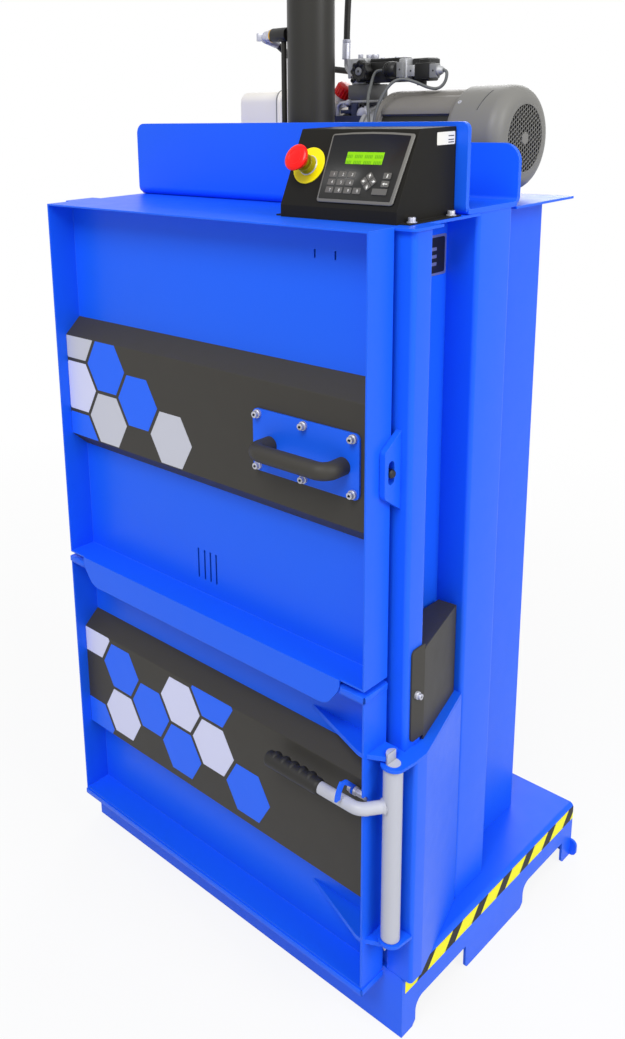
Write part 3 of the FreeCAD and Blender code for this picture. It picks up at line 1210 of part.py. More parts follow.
def motor_body():
    """The ribbed stator housing on its foot."""
    x0, x1 = SHIELD_SPAN[1], MOTOR_END
    half = math.degrees(RIB_WIDTH / (2 * RIB_RADIUS))
    outline = []
    for i in range(RIB_COUNT):
        middle = 360.0 * i / RIB_COUNT
        for radius, angle in ((MOTOR_RADIUS, middle - half - 1), (RIB_RADIUS, middle - half),
                              (RIB_RADIUS + 0.5, middle), (RIB_RADIUS, middle + half),
                              (MOTOR_RADIUS, middle + half + 1)):
            turn = math.radians(angle)
            outline.append((PACK_Y + radius * math.cos(turn), PACK_Z + radius * math.sin(turn)))
    ribs = prism("x", outline, (x0, COVER_START - SEAT))
    barrel = faceted((x0, PACK_Y, PACK_Z), (1, 0, 0), FAN_COVER_RADIUS - FAN_COVER_WALL - SEAT, x1 - x0,
                     LARGE_SIDES)
    barrel = barrel.common(block((COVER_START - SEAT, x1), (PACK_Y - 99, PACK_Y + 99), (PACK_Z - 99, PACK_Z + 99)))
    foot = block((x0 + 16, x1 - 34), (PACK_Y - 62, PACK_Y + 62), (ROOF_TOP, ROOF_TOP + 9))
    legs = []
    for y in (PACK_Y - 52, PACK_Y + 40):
        legs.append(block((x0 + 22, x1 - 40), (y, y + 12), (ROOF_TOP, PACK_Z - 58)))
    return ribs.fuse([barrel, foot] + legs).removeSplitter()


def fan_cover():
    """A pressed cowl with a rounded end and openings round its hub."""
    x0, x1 = COVER_START, FAN_COVER_END
    r, wall, bend = FAN_COVER_RADIUS, FAN_COVER_WALL, FAN_COVER_ROUND
    depth = x1 - x0
    outside = [(0, r), (depth - bend, r)]
    inside = [(-1, r - wall), (depth - bend, r - wall)]
    for angle in (30, 60, 90):
        turn = math.radians(angle)
        outside.append((depth - bend + bend * math.sin(turn), r - bend + bend * math.cos(turn)))
        reach = bend - wall
        inside.append((depth - bend + reach * math.sin(turn), r - bend + reach * math.cos(turn)))
    start = (x0, PACK_Y, PACK_Z)
    cowl = turned(start, (1, 0, 0), outside, LARGE_SIDES).cut(turned(start, (1, 0, 0), inside, LARGE_SIDES))
    spread = math.radians(180 / GRILLE_SPOKES - 5)
    for i in range(GRILLE_SPOKES):
        middle = 2 * math.pi * i / GRILLE_SPOKES
        outline = []
        for radius, angle in ((GRILLE_HUB + 6, middle - spread * 0.6), (GRILLE_RADIUS, middle - spread),
                              (GRILLE_RADIUS * 1.05, middle), (GRILLE_RADIUS, middle + spread),
                              (GRILLE_HUB + 6, middle + spread * 0.6)):
            outline.append((PACK_Y + radius * math.cos(angle), PACK_Z + radius * math.sin(angle)))
        cowl = cowl.cut(prism("x", outline, (x1 - wall - 1, x1 + 1)))
    return cowl


def motor_fan():
    """The cooling fan on the shaft's end."""
    end = FAN_COVER_END - FAN_COVER_WALL
    shaft = faceted((MOTOR_END + SEAT, PACK_Y, PACK_Z), (1, 0, 0), 12, end - MOTOR_END - 16, SMALL_SIDES)
    disc = faceted((end - 42, PACK_Y, PACK_Z), (1, 0, 0), FAN_RADIUS - 12, 4, MIDDLE_SIDES)
    hub = faceted((end - 46, PACK_Y, PACK_Z), (1, 0, 0), 22, 32, SMALL_SIDES)
    blades = []
    for i in range(FAN_BLADES):
        blade = block((end - 68, end - 10), (-1.5, 1.5), (16, FAN_RADIUS))
        blade.rotate(V(0, 0, 0), V(1, 0, 0), 360.0 * i / FAN_BLADES)
        blade.translate(V(0, PACK_Y, PACK_Z))
        blades.append(blade)
    return shaft.fuse([disc, hub] + blades).removeSplitter()


def sub_plate():
    x, y, z = SUBPLATE_SPAN, SUBPLATE_DEPTH, SUBPLATE_RISE
    raised = SHIELD_SPAN[0] - 3
    body = block((x[0], raised), y, z)
    over_motor = block((raised - 1, x[1]), y, (PACK_Z + RIB_RADIUS + 3, z[1]))
    return body.fuse(over_motor).removeSplitter()


def valve_body():
    """The cast valve: centre housing and the ported block on its left."""
    low = SUBPLATE_RISE[1]
    y0, y1 = SUBPLATE_DEPTH
    port_block = block((-24, 8), (y0 + 14, y1 - 4), (low, low + 44))
    housing = block((8, VALVE_FACE), (y0 + 8, y1 - 8), (low, low + 36))
    centre = block((VALVE_FACE - 19, VALVE_FACE), (y0 + 2, y1 - 2), (low + 2, VALVE_TOP))
    arm = block((VALVE_FACE - 1, VALVE_ARM[1]), (y0 + 12, y1 - 14), (low + 10, low + 34))
    return port_block.fuse([housing, centre, arm]).removeSplitter()


def solenoid_coils():
    """Two square coils and the lobed knob in front of the left one."""
    low = SUBPLATE_RISE[1]
    y0, y1 = SUBPLATE_DEPTH
    right = block((VALVE_ARM[1] + 0.01, COIL_END), (y0 + 6, y1 - 10), (low + 4, low + 42))
    points = []
    for i in range(16):
        angle = math.radians(22.5 * i)
        radius = KNOB_RADIUS if i % 2 else KNOB_RADIUS - 3.5
        points.append((8 + radius * math.cos(angle), low + 22 + radius * math.sin(angle)))
    knob = prism("y", points, (y0 - 15, y0 + 8))
    return group([right, knob])


def cable_connectors():
    """Two square plugs on the coils, each with a round cable gland."""
    low = SUBPLATE_RISE[1]
    front = SUBPLATE_DEPTH[0]
    plugs = []
    left = block((VALVE_FACE - 20, VALVE_FACE - 3), (front - 8, front + 2 - 0.01), (low + 8, low + 36))
    gland = faceted((VALVE_FACE - 19.5, front - 3, low + 22), (-1, 0, 0), 9, 30, SMALL_SIDES)
    plugs.append(left.fuse(gland).removeSplitter())
    right = block((COIL_END + 0.01, COIL_END + PLUG_LENGTH), (front + 4, front + 30), (low + 6, low + 32))
    gland = faceted((COIL_END + PLUG_LENGTH - 0.5, front + 12, low + 20), (1, 0, 0), 8, 11, SMALL_SIDES)
    plugs.append(right.fuse(gland).removeSplitter())
    return group(plugs)


# ---- pipe and hoses -----------------------------------------------------

def rigid_pipe():
    """The pipe that rises beside the barrel from its lower port."""
    start = PORT_Z + 12
    pipe = rod((PIPE_X, PIPE_Y, start), (0, 0, 1), PIPE_RADIUS, PIPE_TOP - 9 - start)
    return pipe


def pipe_elbow():
    """The union at the pipe's top and the elbow that hands over to the hose."""
    z = PIPE_TOP
    head = faceted((PIPE_X, PIPE_Y, z - 9), (0, 0, 1), 11, 20, SMALL_SIDES)
    union = faceted((PIPE_X, PIPE_Y, z), (-1, 0, 0), 9, 34, SMALL_SIDES)
    collar = faceted((PIPE_X - 33, PIPE_Y, z), (-1, 0, 0), 8, 6, SMALL_SIDES)
    corner = V(PIPE_X - 55, PIPE_Y, z)
    end = corner + V(*HOSE_DROP) * 24
    elbow = tube_along([(PIPE_X - 36, PIPE_Y, z), tuple(corner), tuple(end)], [10.0], 6.5, SMALL_SIDES, 3)
    return head.fuse([union, collar, elbow]).removeSplitter()


def short_hose():
    """The hose from the pipe's elbow behind the barrel to the valve block."""
    heading = V(*HOSE_DROP)
    corner = V(PIPE_X - 55, PIPE_Y, PIPE_TOP)
    level = SHORT_HOSE_Z
    low = corner + heading * ((PIPE_TOP - level) / -heading.z)
    points = [tuple(corner + heading * 24), tuple(low), (low.x, SHORT_HOSE_Y, level),
              (-40, SHORT_HOSE_Y, level)]
    return tube_along(points, [70.0, 46.0], HOSE_RADIUS, SMALL_SIDES)


def long_hose_points():
    x, y, z = LONG_HOSE
    way = V(x, y - PRESS_Y, 0).normalize()
    end = V(0, PRESS_Y, TOP_PORT_Z) + way * (BARREL_RADIUS + 8 + SEAT)
    return [(x, y, z), (x, y, TOP_PORT_Z), tuple(end)]


def long_hose():
    """The hose that climbs from the valve block to the barrel's top port."""
    return tube_along(long_hose_points(), [55.0], HOSE_RADIUS, SMALL_SIDES)


def hose_ferrules():
    """Pressed ferrules: on the long hose's foot and on the short hose's two ends."""
    x, y, z = LONG_HOSE
    low = SUBPLATE_RISE[1] + 44
    ferrules = []
    stem = tube_along([(-24, y, low - 12), (x, y, low - 12), (x, y, z)], [12.0], 8.0, SMALL_SIDES, 3)
    ferrules.append(stem)
    ferrules.append(faceted((-40, SHORT_HOSE_Y, SHORT_HOSE_Z), (1, 0, 0), 8.0, 16, SMALL_SIDES))
    return group(ferrules)


def control_cables():
    """The two valve cables, from their glands down to one entry on the roof behind the beam."""
    low = ROOF_TOP + ENTRY_HEIGHT - 1
    entry = block(ENTRY_SPAN, ENTRY_DEPTH, (ROOF_TOP, ROOF_TOP + ENTRY_HEIGHT))
    cables = []
    foot_y = (ENTRY_DEPTH[0] + ENTRY_DEPTH[1]) / 2
    for points, bends, foot_x in ((LEFT_CABLE, LEFT_CABLE_BENDS, ENTRY_SPAN[0] + ENTRY_INSETS[0]),
                                  (RIGHT_CABLE, RIGHT_CABLE_BENDS, ENTRY_SPAN[1] - ENTRY_INSETS[1])):
        route = [(p[0], SUBPLATE_DEPTH[0] + p[1], SUBPLATE_RISE[1] + p[2]) for p in points]
        route.append((foot_x, foot_y, low))
        cables.append(tube_along(route, bends, CABLE_RADIUS, CABLE_SIDES, 3))
    return entry.fuse(cables).removeSplitter()


# ---- all nodes ----------------------------------------------------------

NODES = {
    "base_tray": base_tray,
    "side_wall_right": side_wall,
    "side_wall_left": lambda: mirrored(side_wall()),
    "rear_wall": rear_wall,
    "corner_post_right": corner_post,
    "corner_post_left": lambda: mirrored(corner_post()),
    "side_column_right": side_column,
    "side_column_left": lambda: mirrored(side_column()),
    "roof_plate": roof_plate,
    "cross_beam": cross_beam,
    "lever_skirt": lever_skirt,
    "lock_plates": lock_plates,
    "latch_plate": latch_plate,
    "side_cover": side_cover,
    "cover_bolt": cover_bolt,
    "rating_plate": rating_plate,
    "hinge_brackets": lambda: group([hinge_bracket(z) for z in LOWER_HINGES + UPPER_HINGES]),
    "lower_door_hinges": lambda: group([door_knuckle(z) for z in LOWER_HINGES]),
    "upper_door_hinges": lambda: group([door_knuckle(z) for z in UPPER_HINGES]),
    "lower_door_tray": lower_door_tray,
    "lower_door_band": lambda: band(LOWER_BAND),
    "lock_claws": lock_claws,
    "catch_bolt": catch_bolt,
    "lock_catch": lock_catch,
    "closing_lever": closing_lever,
    "lever_grip": lever_grip,
    "upper_door_tray": upper_door_tray,
    "upper_door_band": upper_door_band,
    "handle_plate": handle_plate,
    "door_handle": door_handle,
    "handle_screws": handle_screws,
    "latch_bolt": latch_bolt,
    "cylinder_barrel": cylinder_barrel,
    "cylinder_gland": cylinder_gland,
    "cylinder_flange": cylinder_flange,
    "flange_bolts": flange_bolts,
    "piston_rod": piston_rod,
    "platen": platen,
    "console_housing": console_housing,
    "operator_panel": operator_panel,
    "stop_button_base": stop_button_base,
    "stop_button": stop_button,
    "console_bolts": console_bolts,
    "oil_tank": oil_tank,
    "filler_cap": filler_cap,
    "pump_block": pump_block,
    "end_shield": end_shield,
    "motor_body": motor_body,
    "fan_cover": fan_cover,
    "motor_fan": motor_fan,
    "sub_plate": sub_plate,
    "valve_body": valve_body,
    "solenoid_coils": solenoid_coils,
    "cable_connectors": cable_connectors,
    "rigid_pipe": rigid_pipe,
    "pipe_elbow": pipe_elbow,
    "short_hose": short_hose,
    "long_hose": long_hose,
    "hose_ferrules": hose_ferrules,
    "control_cables": control_cables,
}

os.makedirs("parts", exist_ok=True)
for name, build in NODES.items():
    shape = build()
    if not shape.isValid() or not shape.Solids:
        raise ValueError(name + " is not a valid solid")
    shape.exportStep(os.path.join("parts", name + ".step"))
    print(f"{name}: {len(shape.Solids)} solid(s), {shape.Volume / 1000:.1f} cm3")
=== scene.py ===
import math
import bmesh
import bpy
from bmesh.types import BMEdge, BMFace, BMVert
from mathutils import Matrix, Vector


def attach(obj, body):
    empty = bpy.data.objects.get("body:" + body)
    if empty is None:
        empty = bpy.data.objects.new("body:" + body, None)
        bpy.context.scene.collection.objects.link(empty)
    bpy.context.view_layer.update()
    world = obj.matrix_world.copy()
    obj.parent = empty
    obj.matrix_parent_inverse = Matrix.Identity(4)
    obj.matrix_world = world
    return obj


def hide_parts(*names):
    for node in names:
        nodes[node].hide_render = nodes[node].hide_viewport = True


# Looks of the vertical baler: its finishes, its small fittings, the light and the camera.
# Sizes are written in the drawing's millimetres and made metres by the helpers.

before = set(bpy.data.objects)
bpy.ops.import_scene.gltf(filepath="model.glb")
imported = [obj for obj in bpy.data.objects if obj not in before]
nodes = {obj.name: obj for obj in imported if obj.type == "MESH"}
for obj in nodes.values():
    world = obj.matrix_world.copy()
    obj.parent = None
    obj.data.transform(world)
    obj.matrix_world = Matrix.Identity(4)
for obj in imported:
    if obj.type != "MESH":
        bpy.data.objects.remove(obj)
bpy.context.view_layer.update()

MM = 0.001
RIM_ANGLE = 0.9     # radians from which an edge of a part is a rim to round
TRUE_EDGE = math.radians(32)        # the angle from which a drawn edge stays sharp
FOLD_EDGE = math.radians(28)        # the same for the sheet metal
BEND_STEPS = 12
ALONG_X = Vector((1, 0, 0))
ALONG_Y = Vector((0, 1, 0))
UP = Vector((0, 0, 1))


# ---- finishes -----------------------------------------------------------

def shown(red, green, blue):
    """A colour as a screen shows it, 0 to 255, made linear."""
    parts = []
    for part in (red / 255, green / 255, blue / 255):
        parts.append(part / 12.92 if part <= 0.04045 else ((part + 0.055) / 1.055) ** 2.4)
    return (*parts, 1.0)


def arithmetic(operation):
    """A method that sends a value, and any others, through a Math node."""
    return lambda value, *others: value.finish.node("ShaderNodeMath", {"operation": operation},
        [value, *others])


class Value:
    """One socket of a finish, with Python's arithmetic."""

    def __init__(self, finish, socket):
        self.finish = finish
        self.socket = socket

    __add__ = __radd__ = arithmetic("ADD")
    __mul__ = __rmul__ = arithmetic("MULTIPLY")
    __sub__ = arithmetic("SUBTRACT")
    __truediv__ = arithmetic("DIVIDE")
    __gt__ = arithmetic("GREATER_THAN")
    size = arithmetic("ABSOLUTE")
    above_whole = arithmetic("FRACT")

    def __rsub__(self, other):
        return self.finish.node("ShaderNodeMath", {"operation": "SUBTRACT"}, [other, self])

    def limited(self):
        """Held between 0 and 1."""
        return self.finish.node("ShaderNodeClamp", {}, [self])


class Finish:
    """A procedural finish in the making."""

    def __init__(self, name):
        self.material = bpy.data.materials.new(name)
        self.material.use_nodes = True
        self.tree = self.material.node_tree
        self.shader = self.tree.nodes["Principled BSDF"]

    def node(self, kind, settings=None, inputs=(), output=0):
        """A node of a kind, its settings made first, then the values or links of its sockets."""
        made = self.tree.nodes.new(kind)
        for key, value in (settings or {}).items():
            if key == "stops":
                ramp = made.color_ramp.elements
                for place, colour in value[2:]:
                    ramp.new(place)
                for stop, (place, colour) in zip(ramp, value):
                    stop.position = place
                    stop.color = colour
            else:
                setattr(made, key, value)
        pairs = inputs.items() if isinstance(inputs, dict) else enumerate(inputs)
        for key, value in pairs:
            self.feed(made.inputs[key], value)
        return Value(self, made.outputs[output])

    def feed(self, socket, value):
        if isinstance(value, Value):
            self.tree.links.new(value.socket, socket)
        else:
            socket.default_value = value

    def set(self, **inputs):
        """Values or links for the shader's sockets, named with underscores for spaces."""
        for key, value in inputs.items():
            self.feed(self.shader.inputs[key.replace("_", " ")], value)
        return self

    def where(self, stretch=(1, 1, 1)):
        """Object coordinates, stretched on each axis."""
        place = self.node("ShaderNodeTexCoord", output="Object")
        return self.node("ShaderNodeMapping", {}, {"Vector": place, "Scale": stretch})

    def axes(self):
        """The three object coordinates as numbers."""
        place = self.node("ShaderNodeTexCoord", output="Object")
        split = self.node("ShaderNodeSeparateXYZ", {}, [place])
        others = split.socket.node.outputs
        return split, Value(self, others[1]), Value(self, others[2])

    def noise(self, scale, detail=2.0, stretch=(1, 1, 1)):
        return self.node("ShaderNodeTexNoise", {}, {"Vector": self.where(stretch), "Scale": scale,
            "Detail": detail})

    def mix(self, factor, first, second):
        return self.node("ShaderNodeMix", {"data_type": "RGBA"}, {0: factor, 6: first, 7: second}, 2)

    def grain(self, height, depth, normal=None):
        """A bump whose depth is in millimetres."""
        sockets = {"Strength": 1.0, "Distance": depth * MM, "Height": height}
        if normal is not None:
            sockets["Normal"] = normal
        return self.node("ShaderNodeBump", {}, sockets)

    def soft_edge(self, radius):
        """The normal over edges rounded to this radius, in millimetres, and where those edges are."""
        rounded = self.node("ShaderNodeBevel", {"samples": 4}, {"Radius": radius * MM})
        flat = self.node("ShaderNodeNewGeometry", output="Normal")
        together = self.node("ShaderNodeVectorMath", {"operation": "DOT_PRODUCT"}, [rounded, flat], "Value")
        return rounded, ((1 - together) * 5).limited()


def baked_paint(name, colour, edge_highlight, roughness, peel, depth, coat, edge=1.3, shine=0.22):
    """Baked powder paint: a fine peel, faint clouding, and a painted highlight that makes its edges a little
    lighter.
    """
    colour, edge_highlight = shown(*colour), shown(*edge_highlight)
    finish = Finish(name)
    normal, rim = finish.soft_edge(edge)
    cloud = finish.noise(2.4, 3)
    blotches = finish.noise(34, 5)
    darker = tuple(c * 0.93 for c in colour[:3]) + (1.0,)
    body = finish.mix(cloud, darker, colour)
    # painted highlight: the edges are mixed toward the lighter colour, patchy with the noise
    body = finish.mix(rim * (0.25 + 0.35 * blotches), body, edge_highlight)
    fine = finish.noise(peel, 1.5)
    return finish.set(Base_Color=body, Roughness=roughness - 0.06 + 0.12 * blotches, Coat_Weight=coat,
        Coat_Roughness=0.25, Specular_IOR_Level=shine, Normal=finish.grain(fine, depth, normal)).material


def moulded(name, colour, roughness, depth=0.03, grain=1900, lift=1.12, **others):
    """Moulded plastic or rubber with a fine eroded grain."""
    colour = shown(*colour)
    finish = Finish(name)
    normal, rim = finish.soft_edge(0.7)
    cloud = finish.noise(14, 3)
    light = tuple(min(1.0, c * lift) for c in colour[:3]) + (1.0,)
    # lighter at random in clouds, and lighter along the edges as a painted highlight
    body = finish.mix((cloud * 0.7 + rim * 0.5).limited(), colour, light)
    fine = finish.noise(grain, 2)
    return finish.set(Base_Color=body, Roughness=roughness - 0.05 + 0.1 * cloud, Specular_IOR_Level=0.35,
        Normal=finish.grain(fine, depth, normal), **others).material


def metal(name, colour, roughness, grain, depth, stretch=(1, 1, 1), dull=0.88, metallic=1.0, edge=0.5):
    """Bare or plated metal, with drawn or cast marks from stretched noise."""
    colour = shown(*colour)
    finish = Finish(name)
    normal, rim = finish.soft_edge(edge)
    marks = finish.noise(grain, 3, stretch)
    stain = finish.noise(22, 4)
    deep = tuple(c * dull for c in colour[:3]) + (1.0,)
    # tone varies at random with the stain noise, and the edges are lighter as a painted highlight
    body = finish.mix((stain * 0.8 + rim * 0.4).limited(), deep, colour)
    return finish.set(Base_Color=body, Roughness=roughness - 0.06 + 0.12 * marks, Metallic=metallic,
        Normal=finish.grain(marks, depth, normal)).material


STRIPE_PITCH = 88.0     # from stripe to stripe along the tape
STRIPE_YELLOW = 0.62    # yellow's share of it
STRIPE_LEAN = 0.85


def hazard_tape():
    """Slanted yellow and black stripes that run on round the machine's rear corners."""
    finish = Finish("hazard_tape")
    x, y, z = finish.axes()
    run = y - x.size() - z * STRIPE_LEAN
    black = (run * 1000 / STRIPE_PITCH).above_whole() > STRIPE_YELLOW
    scuff = finish.noise(160, 5)
    yellow = finish.mix(scuff, shown(250, 244, 0), shown(255, 250, 10))
    dark = finish.mix(scuff, shown(4, 4, 4), shown(14, 14, 13))
    return finish.set(Base_Color=finish.mix(black, yellow, dark), Roughness=0.34 + 0.14 * scuff,
        Specular_IOR_Level=0.15, Normal=finish.grain(scuff, 0.02)).material


CELL_PITCH_X = 3.1      # the display's dark cells
CELL_PITCH_Z = 8.6
WORD_PITCH = 18.6       # cells between two blanks


def screen_face():
    """The display's green window with two plain rows of dark cells."""
    finish = Finish("screen_face")
    x, _, z = finish.axes()
    cell = (x * 1000 / CELL_PITCH_X).above_whole()
    row = (z * 1000 / CELL_PITCH_Z + 0.38).above_whole()
    mark = (cell > 0.28) * (row > 0.42) * ((x * 1000 / WORD_PITCH + 0.2).above_whole() > 0.2)
    speck = finish.noise(700, 1)
    glow = finish.mix(mark * 0.55, shown(134, 200, 6), shown(56, 112, 10))
    return finish.set(Base_Color=finish.mix(speck * 0.2, glow, shown(112, 180, 8)),
        Roughness=0.3 + 0.1 * speck, Emission_Color=glow, Emission_Strength=0.2,
        Specular_IOR_Level=0.2).material


BLUE = baked_paint("blue_paint", (24, 100, 250), (70, 132, 255), 0.4, 1300, 0.05, 0.04)
CHARCOAL = baked_paint("charcoal_paint", (60, 58, 54), (86, 84, 80), 0.52, 1500, 0.09, 0.0)
# a darker copy of the charcoal paint with little shine: painted shade on the console housing
SHADED_DESK_PAINT = baked_paint("shaded_desk_paint", (36, 35, 32), (66, 65, 62), 0.42, 1500, 0.07, 0.0, 1.3, 0.05)
BARREL = baked_paint("barrel_paint", (46, 45, 41), (74, 74, 70), 0.4, 900, 0.03, 0.04)
LEVER_GREY = baked_paint("lever_paint", (190, 192, 202), (216, 218, 228), 0.38, 1200, 0.04, 0.1)
MOTOR_GREY = baked_paint("motor_paint", (122, 119, 114), (154, 151, 145), 0.46, 520, 0.16, 0.0)
COWL_GREY = baked_paint("cowl_paint", (124, 123, 119), (158, 156, 151), 0.42, 1100, 0.05, 0.0)
ZINC = metal("zinc_plate", (196, 197, 208), 0.42, 300, 0.02, metallic=0.55)
CHROME = metal("hard_chrome", (226, 228, 232), 0.14, 500, 0.004, (1, 1, 0.03))
STEEL = metal("turned_steel", (152, 152, 156), 0.36, 260, 0.02, (1, 1, 14))
DARK_STEEL = metal("dark_steel", (66, 66, 68), 0.42, 320, 0.02)
BRASS_RING = metal("yellow_zinc", (214, 166, 62), 0.3, 420, 0.01)
CAST = metal("cast_casing", (178, 179, 181), 0.5, 420, 0.14, metallic=0.6)
SUB_PLATE = metal("milled_casing", (96, 96, 96), 0.46, 600, 0.04, (0.2, 1, 1), metallic=0.55)
LABEL = metal("label_metal", (188, 189, 194), 0.32, 900, 0.01, (1, 1, 0.06), metallic=0.8)
BLACK = moulded("black_plastic", (26, 26, 25), 0.44)
SATIN_BLACK = moulded("key_field", (22, 22, 21), 0.4, 0.012)
GREY = moulded("grey_plastic", (130, 131, 131), 0.42)
CABLE = moulded("cable_sheath", (92, 94, 93), 0.5, 0.02)
RUBBER = moulded("hose_rubber", (34, 33, 30), 0.5, 0.05, 1100)
GRIP = moulded("grip_rubber", (34, 33, 31), 0.55, 0.06, 1400)
TANK = moulded("tank_plastic", (238, 234, 228), 0.4, 0.06, 260, 1.03)
SLATE = baked_paint("slate_paint", (58, 64, 92), (92, 98, 124), 0.42, 900, 0.04, 0.0)
YELLOW = moulded("yellow_plastic", (255, 232, 6), 0.34, 0.01)
# a darker yellow for the stop button's collar and stem: painted shade under the red head
SHADED_COLLAR = moulded("shaded_collar_plastic", (150, 142, 12), 0.34, 0.01)
RED = moulded("red_plastic", (240, 2, 3), 0.3, 0.008)
KEY = moulded("key_cap", (92, 90, 86), 0.4, 0.01)
KEY_MARK = moulded("key_mark", (232, 230, 222), 0.4, 0.01)
BEZEL = moulded("bezel_border", (104, 102, 97), 0.4, 0.01)
PALE_FIELD = baked_paint("pale_field", (200, 202, 214), (216, 218, 230), 0.42, 1300, 0.03, 0.0)
LIGHT_FIELD = baked_paint("light_field", (216, 219, 248), (230, 233, 254), 0.42, 1300, 0.03, 0.0)
BLUE_FIELD = baked_paint("blue_field", (36, 106, 255), (62, 126, 255), 0.42, 1300, 0.03, 0.0)
TAPE = hazard_tape()
SCREEN = screen_face()


# ---- shape helpers ------------------------------------------------------

def at(x, y, z):
    """A point given in millimetres."""
    return Vector((x, y, z)) * MM


def laid(start, heading):
    """The placement that takes a shape on +Z at the origin to a start and a heading."""
    return Matrix.Translation(start) @ heading.to_track_quat("Z", "Y").to_matrix().to_4x4()


def oblong(u, v, corner=0):
    """A rectangle's outline from its two spans, its corners rounded or sharp."""
    ends = [(u[0], v[0]), (u[1], v[0]), (u[1], v[1]), (u[0], v[1])]
    return [(*end, corner) if corner else end for end in ends]


def of_kind(kind, made):
    """The vertices, edges or faces among what an operator made."""
    return [item for item in made if isinstance(item, kind)]


def grow(part, faces, shift):
    """Extrudes faces along a shift and gives all that was made."""
    grown = bmesh.ops.extrude_face_region(part, geom=faces)["geom"]
    bmesh.ops.translate(part, vec=shift, verts=of_kind(BMVert, grown))
    return grown


def rounded(part, edges, offset, segments=2):
    bmesh.ops.bevel(part, geom=edges, offset=offset * MM, segments=segments, profile=0.5, affect="EDGES",
        material=-1)


def round_rims(part, offset):
    rounded(part, [e for e in part.edges if len(e.link_faces) == 2 and e.calc_face_angle(0) > RIM_ANGLE],
        offset)


def drawn(data, weld):
    """The mesh work of a curve or a figure, whose data is used up."""
    holder = bpy.data.objects.new(data.name, data)
    mesh = bpy.data.meshes.new_from_object(holder)
    part = bmesh.new()
    part.from_mesh(mesh)
    bpy.data.objects.remove(holder)
    bpy.data.curves.remove(data)
    bpy.data.meshes.remove(mesh)
    bmesh.ops.remove_doubles(part, verts=part.verts, dist=weld)
    return part


def shown_object(name, data):
    """A new object in the scene."""
    made = bpy.data.objects.new(name, data)
    bpy.context.scene.collection.objects.link(made)
    return made


